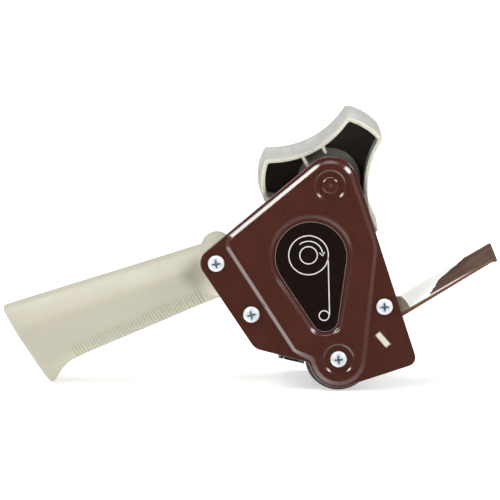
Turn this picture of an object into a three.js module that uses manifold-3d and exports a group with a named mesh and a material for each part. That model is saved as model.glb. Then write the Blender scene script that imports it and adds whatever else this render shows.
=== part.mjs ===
// Hand-held tape gun dispenser for 50 mm box-sealing tape on 76 mm cores.
// Millimetres, +Z up, +X from the handle towards the front plate, +Y from the side plate towards the
// open end where a roll of tape is loaded. The gun stands on its roller and on the butt of its handle.
// Outlines are drawn in X and Z with the hub axis at 0, 0; depths run along Y from the side plate.
import * as THREE from "three";
import { mergeVertices } from "three/addons/utils/BufferGeometryUtils.js";
import Module from "manifold-3d";

const wasm = await Module();
wasm.setup();

// Driving dimensions ---------------------------------------------------------------------------------
const CONTACT = 0.05; // gap between two pieces that touch
const TURNED_CONTACT = 0.3; // the same where a piece lies at an angle
const RUNNING = 0.2; // gap beside a piece that turns
const TAPE_WIDTH = 50;
const FRAME_DEPTH = 4; // nearest depth that the tape reaches
const FRAME_FAR = FRAME_DEPTH + TAPE_WIDTH;

const HUB = { x: 0, z: 0, r: 38, rimR: 35.8, near: 6.5, far: 54.5, wall: 1.8, turn: -2.3 };
const LOBES = 3;
const LOBE_HALF_ANGLE = 18; // degrees, to the corner of a lobe
const WAIST_R = 20; // nearest that the hub's hollow sides come to the axis
const RIM_SLOPE = 0.3; // how far the wall's inner edge lies behind its outer one
const RING_STEPS = 6; // straight pieces across a lobe, and across the hollow between two lobes

const ROLLER = { x: 4.8, z: -92.9, r: 17.7, coreR: 12.4, near: 4, far: 54 };
const FLOOR = ROLLER.z - ROLLER.r;
const AXLE_R = 4;

const PLATE = 1.5; // thickness of the side plate
const PANEL_RISE = 1.6;
const LABEL_RECESS = 1.3;
const DISH_DEPTH = 0.8;
const DISH_R = 8.2;

const UPPER_SCREW = { x: -59.7, z: -41.7 };
const LOWER_SCREW = { x: -41.2, z: -69 };
const FRONT_SCREW = { x: 28.9, z: -64.8 };
const HEAD_R = 4.3;
const HEAD_HEIGHT = 2.4;
const SHANK_R = 2;

const HANDLE_MIDDLE = 25.5; // depth of the handle's parting plane
const HANDLE_HALF_WIDTH = 15.5;
const HANDLE_WALL = 2.6;
const ROOT_NEAR = PLATE + CONTACT;
const ROOT_FAR = 2 * HANDLE_MIDDLE - ROOT_NEAR;
const BOSS_R = 8.6;

const WIPER = {
  x: 38.7, z: -71.1, angle: 30.8, length: 57.2, hidden: 9, root: 2.3, tip: 1.1, lipR: 1, near: 4, far: 48,
};
const LUG = { x: 28.1, z: -82.6, angle: -49, length: 8.6, thick: 3 };
const BLADE = { thick: 0.9, near: 4.5, far: 53.5, top: -3.2, gum: 10.6, tip: 12.6, teeth: 24, screw: 2.8 };
const FINGER_HALF = 2.2; // half the thickness of the wall that carries the blade
const MOULDING_WALL = 3;

const STRIPPER = { x: -27, z: -92.8, angle: -13, length: 14, thick: 0.7 };

const COLOURS = {
  brown: { color: 0x4b2821, roughness: 0.32, metalness: 0.2 },
  cream: { color: 0xd2ceb8, roughness: 0.5, metalness: 0 },
  black: { color: 0x1d1816, roughness: 0.45, metalness: 0 },
  grey: { color: 0x60605a, roughness: 0.6, metalness: 0.1 },
  felt: { color: 0x6f6552, roughness: 0.95, metalness: 0 },
  rubber: { color: 0x3c3a38, roughness: 0.85, metalness: 0 },
  zinc: { color: 0xc9d0d2, roughness: 0.28, metalness: 0.95 },
  steel: { color: 0x9a9a98, roughness: 0.3, metalness: 0.95 },
};

// Solids ---------------------------------------------------------------------------------------------
const radians = THREE.MathUtils.degToRad;

function solid(geometry) {
  const bare = geometry.clone();
  for (const name of Object.keys(bare.attributes)) if (name !== "position") bare.deleteAttribute(name);
  const merged = mergeVertices(bare, 1e-4);
  const mesh = new wasm.Mesh({
    numProp: 3,
    vertProperties: merged.attributes.position.array,
    triVerts: new Uint32Array(merged.index.array),
  });
  return new wasm.Manifold(mesh);
}

function geometryOf(made) {
  const mesh = made.getMesh();
  const geometry = new THREE.BufferGeometry();
  geometry.setAttribute("position", new THREE.BufferAttribute(mesh.vertProperties, 3));
  geometry.setIndex(new THREE.BufferAttribute(mesh.triVerts, 1));
  geometry.computeVertexNormals();
  return geometry;
}

const joined = (...solids) => solids.reduce((a, b) => a.add(b));
const cut = (base, ...tools) => tools.reduce((a, b) => a.subtract(b), base);

// An outline in X and Z carried along Y from one depth to another.
function slab(shape, near, far, curveSegments = 6) {
  const options = { depth: far - near, bevelEnabled: false, curveSegments };
  const geometry = new THREE.ExtrudeGeometry(shape, options);
  return solid(geometry.rotateX(Math.PI / 2).translate(0, far, 0));
}

function rod(at, r, near, far, segments = 24) {
  const geometry = new THREE.CylinderGeometry(r, r, far - near, segments);
  return solid(geometry.translate(at.x, (near + far) / 2, at.z));
}

function washer(at, outer, inner, near, far, segments = 24) {
  return cut(rod(at, outer, near, far, segments), rod(at, inner, near - 1, far + 1, segments));
}

// A turned piece: its profile is a list of radius and depth, from axis to axis.
function turned(at, profile, segments = 24) {
  const points = profile.map(([r, y]) => new THREE.Vector2(r, y));
  return solid(new THREE.LatheGeometry(points, segments).translate(at.x, 0, at.z));
}

const placed = (made, x, y, z, angle = 0) => {
  const matrix = new THREE.Matrix4().makeRotationY(-radians(angle)).setPosition(x, y, z);
  return made.transform(matrix.elements);
};

// A box whose length runs at an angle above +X in the XZ plane, measured from a start point.
function bar(start, angle, begin, end, low, high, near, far) {
  const geometry = new THREE.BoxGeometry(end - begin, far - near, high - low);
  geometry.translate((begin + end) / 2, (near + far) / 2, (low + high) / 2);
  return placed(solid(geometry), start.x, 0, start.z, angle);
}

// The outline of a belt round circles listed anticlockwise; a negative radius bends the belt inwards.
function belt(circles) {
  const ends = circles.map((a, i) => {
    const b = circles[(i + 1) % circles.length];
    const dx = b.x - a.x;
    const dz = b.z - a.z;
    const lean = Math.acos(THREE.MathUtils.clamp((a.r - b.r) / Math.hypot(dx, dz), -1, 1));
    return Math.atan2(dz, dx) - lean;
  });
  const shape = new THREE.Shape();
  circles.forEach((c, i) => {
    const start = ends[(i + circles.length - 1) % circles.length];
    const flip = c.r < 0 ? Math.PI : 0;
    const x = c.x + c.r * Math.cos(start);
    const z = c.z + c.r * Math.sin(start);
    if (i) shape.lineTo(x, z);
    else shape.moveTo(x, z);
    shape.absarc(c.x, c.z, Math.abs(c.r), start + flip, ends[i] + flip, c.r < 0);
  });
  return shape;
}

const grown = (circles, by) => circles.map((c) => ({ ...c, r: c.r + by }));

// A point at an angle and distance from another.
const away = (at, angle, distance) => ({
  x: at.x + distance * Math.cos(radians(angle)),
  z: at.z + distance * Math.sin(radians(angle)),
});

// A closed body through rings of points, capped at both ends, or joined end to end as a sleeve.
function loft(rings, sleeve = false) {
  const count = rings[0].length;
  const position = rings.flat().flatMap((p) => [p.x, p.y, p.z]);
  const index = [];
  for (let k = 0; k < (sleeve ? rings.length : rings.length - 1); k++)
    for (let i = 0; i < count; i++) {
      const next = (i + 1) % count;
      const here = k * count;
      const there = ((k + 1) % rings.length) * count;
      index.push(here + i, here + next, there + i, here + next, there + next, there + i);
    }
  const last = (rings.length - 1) * count;
  for (let i = 1; i + 1 < count && !sleeve; i++) {
    index.push(0, i + 1, i);
    index.push(last, last + i, last + i + 1);
  }
  const geometry = new THREE.BufferGeometry();
  geometry.setAttribute("position", new THREE.Float32BufferAttribute(position, 3));
  geometry.setIndex(index);
  return solid(geometry);
}

// Side plate and label -------------------------------------------------------------------------------
const EDGE_R = 15; // the plate's edge round the hub axis
const FOOT_R = 15.6; // the plate's edge round the roller
const BLEND_R = 5; // where the lower edge turns down to the roller
const PLATE_BELT = [
  { ...HUB, r: EDGE_R },
  { ...UPPER_SCREW, r: 8.3 },
  { x: -34.5, z: -80.6, r: 8 },
  { ...away(ROLLER, 197.7, FOOT_R + BLEND_R), r: -BLEND_R },
  { ...ROLLER, r: FOOT_R },
  { x: 40.6, z: -92.3, r: 4.9 },
];
const PANEL_R = 11.6;
const PANEL_BELT = [
  { ...HUB, r: 12.6 },
  { x: -48, z: -31, r: 5.4 },
  { x: -15.2, z: -84.7, r: 3.4 },
  { ...away(ROLLER, 187, PANEL_R + BLEND_R), r: -BLEND_R },
  { ...ROLLER, r: PANEL_R },
  { x: 3.9, z: -34.7, r: 19 },
];
const LABEL_BELT = [
  { x: -9.9, z: -38.2, r: 18.9 },
  { x: -2.4, z: -71.2, r: 7.1 },
];
const LABEL_FLOOR = LABEL_RECESS - PANEL_RISE;
const DISH_FLOOR = DISH_DEPTH - PANEL_RISE;

function makeSidePlate() {
  const through = (at, r) => rod(at, r, -PANEL_RISE - 1, PLATE + 1, 16);
  const dish = (at) => rod(at, DISH_R, -PANEL_RISE - 1, DISH_FLOOR, 28);
  const behindDish = (at) => rod(at, DISH_R + PLATE, -PANEL_RISE, PLATE + 1, 16);
  const pocket = cut(
    slab(belt(grown(PANEL_BELT, -PLATE)), PLATE - PANEL_RISE, PLATE + 1, 4),
    behindDish(HUB),
    behindDish(ROLLER),
    slab(belt(grown(LABEL_BELT, PLATE + 2)), -PANEL_RISE, PLATE + 1, 8),
  );
  const slot = bar(LUG, LUG.angle, -LUG.length / 2 - 0.3, LUG.length / 2 + 0.8, -1.8, 2, -1, PLATE + 1);
  return cut(
    joined(slab(belt(PLATE_BELT), 0, PLATE, 7), slab(belt(PANEL_BELT), -PANEL_RISE, 0.5, 6)),
    pocket,
    slab(belt(grown(LABEL_BELT, 2.8)), -PANEL_RISE - 1, LABEL_FLOOR, 10),
    dish(HUB),
    dish(ROLLER),
    through(HUB, 3.5),
    ...[UPPER_SCREW, LOWER_SCREW, FRONT_SCREW, ROLLER].map((at) => through(at, SHANK_R + 0.3)),
    slot,
  );
}

const makeLabel = () => slab(belt(LABEL_BELT), LABEL_FLOOR - 0.35, LABEL_FLOOR - CONTACT, 12);

// Screws ---------------------------------------------------------------------------------------------
// A pan-head screw driven towards +Y, or towards -Y where facing is -1.
function panScrew(at, seat, length, headR = HEAD_R, headHeight = HEAD_HEIGHT, shankR = SHANK_R, facing = 1) {
  const profile = [
    [0, -headHeight],
    [headR * 0.45, -headHeight * 0.93],
    [headR * 0.8, -headHeight * 0.68],
    [headR, -headHeight * 0.25],
    [headR, -CONTACT],
    [shankR, -CONTACT],
    [shankR, length - shankR],
    [0, length],
  ];
  const turnedProfile = profile.map(([r, y]) => [r, seat + facing * y]);
  return turned(at, facing > 0 ? turnedProfile : turnedProfile.reverse(), 16);
}

// Hub, its axle and the tension parts ----------------------------------------------------------------
const SHOULDER = 20; // depth of the shoulder that the brake plate rests on
const SPINDLE_R = 5;
const THREAD_GAP = 0.3;
const BRAKE = { r: 16.5, near: SHOULDER + CONTACT, far: SHOULDER + 3 };
const PAD = { r: 14, near: BRAKE.far + CONTACT, far: BRAKE.far + 1.6 };
const WEB = { near: PAD.far + 0.1, far: PAD.far + 3 };
const TUBE = { r: 7.6, far: 40 };
const SEAT = { r: 8.4, near: TUBE.far + RUNNING, far: TUBE.far + 1.4 };
const SPRING = { r: 6.7, wire: 1.3, turns: 2.5, near: SEAT.far + 0.15, far: SEAT.far + 6 };
const CAP = { r: 8.6, near: SPRING.far + 0.15, far: SPRING.far + 1.5 };
const KNOB = { r: 12, near: CAP.far + CONTACT, far: 56.5, flutes: 8 };
const SPINDLE_END = 58.5;

// The hub's outline at one depth: lobes that grip the core, with hollow sides between them.
function hubRing(depth, lobeR, inset) {
  const rim = HUB.rimR;
  const half = radians(LOBE_HALF_ANGLE);
  const chord = rim * Math.cos(Math.PI / LOBES - half); // axis to the line between two lobes' corners
  const reach = rim * Math.sin(Math.PI / LOBES - half);
  const dip = chord - WAIST_R;
  const hollowR = (reach * reach + dip * dip) / (2 * dip);
  const ring = [];
  const add = (x, z) => ring.push(new THREE.Vector3(x, depth, z));
  for (let k = 0; k < LOBES; k++) {
    const middle = radians(HUB.turn + 180 - (360 / LOBES) * k);
    const edge = half - inset / rim;
    for (let i = 0; i <= RING_STEPS; i++) {
      const t = (2 * i) / RING_STEPS - 1; // -1 to 1 across the lobe
      const r = rim + (lobeR - rim) * (1 - t ** 4) - inset;
      add(r * Math.cos(middle - t * edge), r * Math.sin(middle - t * edge));
    }
    const waist = middle - Math.PI / LOBES;
    const sweep = Math.asin(reach / hollowR) * (1 - inset / reach);
    const centre = WAIST_R + hollowR;
    for (let i = 1; i < RING_STEPS; i++) {
      const t = (2 * i) / RING_STEPS - 1;
      const across = (hollowR + inset) * Math.sin(-t * sweep);
      const out = centre - (hollowR + inset) * Math.cos(t * sweep);
      add(
        out * Math.cos(waist) - across * Math.sin(waist),
        out * Math.sin(waist) + across * Math.cos(waist),
      );
    }
  }
  return ring;
}

// The lobes swell between the two rims so that a card core grips them.
const lobeAt = (t) => HUB.rimR + (HUB.r - HUB.rimR) * Math.sin(Math.PI * t) ** 0.5;

const DEPTH_STEPS = 5;

function makeHubShell() {
  const { near, far, wall, rimR } = HUB;
  const rings = [];
  for (let i = 0; i <= DEPTH_STEPS; i++) {
    const t = i / DEPTH_STEPS;
    rings.push(hubRing(near + (far - near) * t, lobeAt(t), 0));
  }
  const inside = [far - RIM_SLOPE, near + RIM_SLOPE].map((depth) => hubRing(depth, rimR, wall));
  const ribs = [-1, 1].map((side) => {
    const at = away(HUB, HUB.turn + 120 + side * 15, WAIST_R + 0.8);
    return bar(at, HUB.turn + 120, -5, 0, -0.8, 0.8, near + 0.4, near + 12);
  });
  return joined(loft([...rings, ...inside], true), ...ribs);
}

function makeHubCore() {
  const web = loft([WEB.near, WEB.far].map((depth) => hubRing(depth, HUB.rimR, HUB.wall + 0.15)));
  const tube = rod(HUB, TUBE.r, WEB.near, TUBE.far, 24);
  const ribs = [0, 1, 2].map((k) => {
    const angle = HUB.turn + 60 + 120 * k;
    return bar(HUB, angle, TUBE.r - 1, WAIST_R - HUB.wall - 0.4, -1, 1, WEB.far - 0.5, TUBE.far - 4);
  });
  return cut(joined(web, tube, ...ribs), rod(HUB, SPINDLE_R + 0.25, 0, TUBE.far + 1, 24));
}

function makeHubAxle() {
  const head = [
    [0, -1.6],
    [1, -1.95],
    [3.2, -2.05],
    [4.3, -1.7],
    [4.6, DISH_FLOOR - CONTACT],
    [3.4, DISH_FLOOR - CONTACT],
  ];
  const shank = [
    [3.4, PLATE + CONTACT],
    [8, PLATE + CONTACT],
    [8, SHOULDER],
    [SPINDLE_R, SHOULDER],
    [SPINDLE_R, SPINDLE_END - 1],
    [SPINDLE_R - 1, SPINDLE_END],
    [0, SPINDLE_END],
  ];
  return turned(HUB, [...head, ...shank], 24);
}

function makeSpring() {
  const { r, wire, turns, near, far } = SPRING;
  class Helix extends THREE.Curve {
    getPoint(t, target = new THREE.Vector3()) {
      const angle = 2 * Math.PI * turns * t;
      const depth = near + wire / 2 + (far - near - wire) * t;
      return target.set(HUB.x + r * Math.cos(angle), depth, HUB.z + r * Math.sin(angle));
    }
  }
  const section = new THREE.Shape().absarc(0, 0, wire / 2 - 0.05, 0, 2 * Math.PI);
  const options = { steps: 36, bevelEnabled: false, extrudePath: new Helix(), curveSegments: 3 };
  return solid(new THREE.ExtrudeGeometry(section, options));
}

function makeKnob() {
  const flutes = [];
  for (let k = 0; k < KNOB.flutes; k++) {
    const at = away(HUB, (360 / KNOB.flutes) * k, KNOB.r + 1.1);
    flutes.push(rod(at, 2.2, KNOB.near + 1, KNOB.far + 1, 10));
  }
  const body = turned(HUB, [
    [0, KNOB.near],
    [KNOB.r - 1, KNOB.near],
    [KNOB.r, KNOB.near + 1],
    [KNOB.r, KNOB.far - 1.2],
    [KNOB.r - 1.2, KNOB.far],
    [0, KNOB.far],
  ], 32);
  return cut(body, rod(HUB, SPINDLE_R + THREAD_GAP, KNOB.near - 1, KNOB.far + 1, 24), ...flutes);
}

// Roller ---------------------------------------------------------------------------------------------
const SPACER = { r: 6.5, near: PLATE + CONTACT, far: ROLLER.near - RUNNING };
const CLIP = { near: ROLLER.far + 1.4, far: ROLLER.far + 2.2, grooveR: 3.1 };
const AXLE_END = CLIP.far + 1.4;

function makeRollerAxle() {
  const profile = [
    [0, PLATE + CONTACT],
    [AXLE_R, PLATE + CONTACT],
    [AXLE_R, CLIP.near - 0.1],
    [CLIP.grooveR, CLIP.near - 0.1],
    [CLIP.grooveR, CLIP.far + 0.1],
    [AXLE_R, CLIP.far + 0.1],
    [AXLE_R, AXLE_END - 0.6],
    [AXLE_R - 0.6, AXLE_END],
    [0, AXLE_END],
  ];
  return cut(turned(ROLLER, profile), rod(ROLLER, SHANK_R + 0.15, 0, 15, 20));
}

function makeRollerTyre() {
  const { r, coreR, near, far } = ROLLER;
  const outside = turned(ROLLER, [
    [0, near],
    [r - 0.8, near],
    [r, near + 0.8],
    [r, far - 0.8],
    [r - 0.8, far],
    [0, far],
  ], 40);
  return cut(outside, rod(ROLLER, coreR + 0.15, near - 1, far + 1, 32));
}

function makeRollerCore() {
  return washer(ROLLER, ROLLER.coreR, AXLE_R + 0.2, ROLLER.near + 0.2, ROLLER.far - 0.2, 32);
}

function makeRetainingClip() {
  const ring = washer(ROLLER, 6.4, CLIP.grooveR + 0.1, CLIP.near, CLIP.far);
  return cut(ring, bar(ROLLER, -90, 0, 10, -2.4, 2.4, CLIP.near - 1, CLIP.far + 1));
}

// Handle ---------------------------------------------------------------------------------------------
const SECTION_ANGLE = -57; // every section of the handle lies along this line
const SECTION_POINTS = 24;
const TOP_EDGE = { x: -172.4, z: -69.2, angle: 17.4 };
const BUTT_ANGLE = 20; // the way from the butt's end wall into the handle
// The lower edge of the handle, from the tip of its butt to behind the side plate.
const LOWER_EDGE = [
  { x: -147.2, z: FLOOR, half: 14.4 },
  { x: -145.1, z: -107.9, half: 15.6 },
  { x: -142.4, z: -102.8, half: 15.9 },
  { x: -137.8, z: -99, half: 15.7 },
  { x: -130.5, z: -95.2, half: 15.5 },
  { x: -95, z: -79.8, half: 15.5 },
  { x: -66, z: -67.2, half: 16 },
  { x: -47, z: -59.6, half: 17 },
];

// Where the line through a lower point at the section angle meets the top edge.
function topAbove(low) {
  const along = away(HUB, SECTION_ANGLE, 1);
  const top = away(HUB, TOP_EDGE.angle, 1);
  const cross = along.x * top.z - along.z * top.x;
  const t = ((low.x - TOP_EDGE.x) * top.z - (low.z - TOP_EDGE.z) * top.x) / cross;
  return { x: low.x - along.x * t, z: low.z - along.z * t };
}

// Sections of the grip, drawn in by a wall's thickness for the hollow inside it.
function gripRings(wall) {
  return LOWER_EDGE.map((low, k) => {
    const top = topAbove(low);
    const endWall = k === 0 ? wall : 0;
    const middle = away({ x: (low.x + top.x) / 2, z: (low.z + top.z) / 2 }, BUTT_ANGLE, endWall);
    const tall = Math.hypot(top.x - low.x, top.z - low.z) / 2 - wall;
    const ring = [];
    for (let i = 0; i < SECTION_POINTS; i++) {
      const a = (2 * Math.PI * i) / SECTION_POINTS;
      const up = Math.sign(Math.sin(a)) * Math.abs(Math.sin(a)) ** 0.8 * tall;
      const across = Math.sign(Math.cos(a)) * Math.abs(Math.cos(a)) ** 0.8 * (low.half - wall);
      const p = away(middle, SECTION_ANGLE + 180, up);
      ring.push(new THREE.Vector3(p.x, HANDLE_MIDDLE + across, p.z));
    }
    return ring;
  });
}

const ROOT_SCREWS = [UPPER_SCREW, LOWER_SCREW];
const ROOT_ANGLE = -55.9; // from the upper screw to the lower one
const JOINING_SCREWS = { rear: { x: -146, z: -84 }, front: { x: -92, z: -62 } };
const FAR_SKIN = HANDLE_MIDDLE + HANDLE_HALF_WIDTH;
const POST_HALF = HANDLE_HALF_WIDTH - 2;

function handleBody() {
  const root = slab(belt(ROOT_SCREWS.map((at) => ({ ...at, r: BOSS_R }))), ROOT_NEAR, ROOT_FAR, 8);
  const halfway = away(UPPER_SCREW, ROOT_ANGLE, 16.5);
  const core = bar(halfway, ROOT_ANGLE, -9, 9, -5.6, 5.6, ROOT_NEAR + 4, ROOT_FAR - 4);
  const shell = cut(joined(loft(gripRings(0)), root), loft(gripRings(HANDLE_WALL)), core);
  const bosses = ROOT_SCREWS.map((at) => rod(at, 5.2, ROOT_NEAR + 1, ROOT_FAR - 1, 16));
  const posts = Object.values(JOINING_SCREWS).map((at) =>
    rod(at, 4.2, HANDLE_MIDDLE - POST_HALF, HANDLE_MIDDLE + POST_HALF, 12),
  );
  return joined(shell, ...posts, ...bosses);
}

const WHOLE_HANDLE = handleBody();
const REACH = 400; // beyond the whole object
const between = (near, far) => bar(HUB, 0, -REACH, REACH, -REACH, REACH, near, far);

function makeNearShell() {
  const pilots = ROOT_SCREWS.map((at) => rod(at, SHANK_R + 0.15, 0, 17, 12));
  const sockets = Object.values(JOINING_SCREWS).map((at) => rod(at, 1.65, HANDLE_MIDDLE - 9, 60, 12));
  return cut(WHOLE_HANDLE.intersect(between(-REACH, HANDLE_MIDDLE - CONTACT)), ...pilots, ...sockets);
}

function makeFarShell() {
  const clear = Object.values(JOINING_SCREWS).flatMap((at) => [
    rod(at, 1.9, 0, 60, 12),
    rod(at, 3.9, FAR_SKIN - 4.5, 60, 16),
  ]);
  return cut(WHOLE_HANDLE.intersect(between(HANDLE_MIDDLE + CONTACT, REACH)), ...clear);
}

const makeJoiningScrew = (at) => panScrew(at, FAR_SKIN - 4.5, 20, 3.3, 1.9, 1.5, -1);

// Front moulding, front plate, blade -----------------------------------------------------------------
const MOULDING_BELT = [
  { x: 30.8, z: -62.8, r: 3.4 },
  { x: 24.6, z: -62.6, r: 5 },
  { x: 24.5, z: -76, r: 5 },
  { x: 33.2, z: -71, r: 3.6 },
];
const CHEEK = { x: 28.8, z: -71.5, r: 14.7, top: -59.9, left: 24, near: 2.4, far: 5 };
const WIPER_RIVETS = [13, 39];
const BLADE_SCREWS = [14, 44];

// A slab without the space for the front plate and all below it, and for the blade.
function clearOfPlates(body, inset, near, far) {
  const start = -WIPER.hidden - TURNED_CONTACT - inset;
  const high = WIPER.root + TURNED_CONTACT + inset;
  const wiperSpace = bar(WIPER, WIPER.angle, start, 40, -40, high, near - 1, far + 1);
  const bladeSpace = bar(LUG, LUG.angle, -7 - inset, 20, FINGER_HALF - inset, 15, near - 1, far + 1);
  return cut(body, wiperSpace, bladeSpace);
}

function mouldingSlab(inset, near, far) {
  return clearOfPlates(slab(belt(grown(MOULDING_BELT, -inset)), near, far, 6), inset, near, far);
}

// The rounded end wall beside the side plate, which stands out past its edge.
function cheek() {
  const { r, top, left, near, far, x } = CHEEK;
  const wall = bar({ x: left, z: top }, 0, 0, x + r - left, -20, 0, near, far);
  return clearOfPlates(rod(CHEEK, r, near, far, 48).intersect(wall), 0, near, far);
}

function makeFrontMoulding() {
  const { length, thick, angle } = LUG;
  const finger = bar(LUG, angle, -10, 5.6, -FINGER_HALF, FINGER_HALF, FRAME_DEPTH - 2, FRAME_FAR);
  const lug = bar(LUG, angle, -length / 2, length / 2, -thick / 2, thick / 2, -0.2, FRAME_DEPTH);
  const hollow = mouldingSlab(MOULDING_WALL, FRAME_DEPTH + 2, FRAME_FAR + 1);
  const shell = cut(joined(mouldingSlab(0, FRAME_DEPTH - 2, FRAME_FAR), cheek(), finger), hollow);
  const boss = rod(FRONT_SCREW, 4.6, FRAME_DEPTH, 22, 14);
  return cut(
    joined(shell, lug, boss),
    rod(FRONT_SCREW, SHANK_R + 0.15, 0, 18, 12),
    ...WIPER_RIVETS.map((y) => rivetShaft(y, 1.7)),
    ...BLADE_SCREWS.map((y) => bladeShaft(y, 1.45)),
  );
}

// A rod across the front plate, and one across the blade.
function crossing(start, angle, along, r, low, high, depth, segments = 12) {
  const geometry = new THREE.CylinderGeometry(r, r, high - low, segments).rotateX(Math.PI / 2);
  geometry.translate(along, depth, (low + high) / 2);
  return placed(solid(geometry), start.x, 0, start.z, angle);
}
const rivetShaft = (depth, r) => crossing(WIPER, WIPER.angle, -4.6, r, -3, 6.2, depth);
const bladeShaft = (depth, r) => crossing(LUG, LUG.angle, BLADE.screw, r, -6, 8, depth);

function makeFrontPlate() {
  const { x, z, angle, hidden, length, root, tip, lipR, near, far } = WIPER;
  const outline = new THREE.Shape()
    .moveTo(-hidden, 0)
    .lineTo(0, 0)
    .lineTo(length, root - tip)
    .lineTo(length, root)
    .lineTo(-hidden, root);
  const sheet = placed(slab(outline, near, far), x, 0, z, angle);
  const lipAt = away(away(WIPER, angle, length), angle + 90, root - lipR);
  return cut(
    joined(sheet, rod(lipAt, lipR, near, far, 16)),
    ...WIPER_RIVETS.map((y) => rivetShaft(y, 1.7)),
  );
}

function makeWiperRivet(depth) {
  const head = crossing(WIPER, WIPER.angle, -4.6, 3, -1.1, -TURNED_CONTACT / 2, depth, 16);
  return joined(head, crossing(WIPER, WIPER.angle, -4.6, 1.5, -0.9, 5.4, depth));
}

function makeBlade() {
  const low = FINGER_HALF + TURNED_CONTACT;
  const { near, far, top, gum, tip, teeth, thick } = BLADE;
  const outline = new THREE.Shape();
  outline.moveTo(top, near);
  outline.lineTo(gum, near);
  const pitch = (far - near) / teeth;
  for (let k = 0; k < teeth; k++) {
    outline.lineTo(tip, near + pitch * (k + 0.5));
    outline.lineTo(gum, near + pitch * (k + 1));
  }
  outline.lineTo(top, far);
  const geometry = new THREE.ExtrudeGeometry(outline, { depth: thick, bevelEnabled: false });
  const flat = placed(solid(geometry.translate(0, 0, low)), LUG.x, 0, LUG.z, LUG.angle);
  return cut(flat, ...BLADE_SCREWS.map((y) => bladeShaft(y, 1.6)));
}

function makeBladeScrew(depth) {
  const face = FINGER_HALF + TURNED_CONTACT + BLADE.thick;
  const head = crossing(LUG, LUG.angle, BLADE.screw, 2.4, face + TURNED_CONTACT / 2, face + 1.6, depth, 16);
  return joined(head, crossing(LUG, LUG.angle, BLADE.screw, 1.3, -1.9, face + 1, depth));
}

// Stripper leaf --------------------------------------------------------------------------------------
function makeStripper() {
  const { angle, length, thick } = STRIPPER;
  const leaf = bar(STRIPPER, angle, 0, length, 0, thick, PLATE + CONTACT, FRAME_FAR);
  const tab = bar(STRIPPER, angle, 1, length - 3, 0.2, 9, PLATE + CONTACT, PLATE + 0.9);
  return joined(leaf, tab);
}

// Assembly -------------------------------------------------------------------------------------------
const gun = new THREE.Group();

function add(name, made, colour) {
  const mesh = new THREE.Mesh(geometryOf(made), new THREE.MeshStandardMaterial(COLOURS[colour]));
  mesh.name = name;
  gun.add(mesh);
}

add("side_plate", makeSidePlate(), "brown");
add("label", makeLabel(), "black");
add("hub_axle", makeHubAxle(), "brown");
add("brake_plate", washer(HUB, BRAKE.r, SPINDLE_R + 0.1, BRAKE.near, BRAKE.far, 36), "grey");
add("friction_pad", washer(HUB, PAD.r, SPINDLE_R + 0.3, PAD.near, PAD.far, 30), "felt");
add("hub_shell", makeHubShell(), "cream");
add("hub_core", makeHubCore(), "black");
add("spring_seat_washer", washer(HUB, SEAT.r, SPINDLE_R + 0.1, SEAT.near, SEAT.far), "zinc");
add("tension_spring", makeSpring(), "steel");
add("spring_cap_washer", washer(HUB, CAP.r, SPINDLE_R + 0.15, CAP.near, CAP.far), "zinc");
add("tension_knob", makeKnob(), "black");

add("roller_axle", makeRollerAxle(), "steel");
add("roller_core", makeRollerCore(), "black");
add("roller_tyre", makeRollerTyre(), "rubber");
add("roller_spacer", washer(ROLLER, SPACER.r, AXLE_R + 0.1, SPACER.near, SPACER.far), "zinc");
add("roller_end_washer", washer(ROLLER, 6.5, AXLE_R + 0.1, ROLLER.far + RUNNING, CLIP.near - 0.15), "zinc");
add("roller_retaining_clip", makeRetainingClip(), "steel");
add("roller_axle_screw", panScrew(ROLLER, DISH_FLOOR, 14), "zinc");

add("handle_near_shell", makeNearShell(), "cream");
add("handle_far_shell", makeFarShell(), "cream");
add("handle_upper_screw", panScrew(UPPER_SCREW, 0, 16), "zinc");
add("handle_lower_screw", panScrew(LOWER_SCREW, 0, 16), "zinc");
add("handle_joining_screw_rear", makeJoiningScrew(JOINING_SCREWS.rear), "zinc");
add("handle_joining_screw_front", makeJoiningScrew(JOINING_SCREWS.front), "zinc");

add("front_moulding", makeFrontMoulding(), "cream");
add("front_moulding_screw", panScrew(FRONT_SCREW, 0, 16), "zinc");
add("front_plate", makeFrontPlate(), "brown");
["near", "far"].forEach((side, k) => {
  add(`front_plate_rivet_${side}`, makeWiperRivet(WIPER_RIVETS[k]), "steel");
  add(`blade_screw_${side}`, makeBladeScrew(BLADE_SCREWS[k]), "zinc");
});
add("blade", makeBlade(), "steel");
add("stripper_leaf", makeStripper(), "steel");

// The origin is the middle of the object's floor print.
const box = new THREE.Box3().setFromObject(gun);
const middle = box.getCenter(new THREE.Vector3());
gun.position.set(-middle.x, -middle.y, -box.min.z);

export default gun;
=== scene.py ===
import math

import bmesh
import bpy
import numpy as np
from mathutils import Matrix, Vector, geometry


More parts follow.
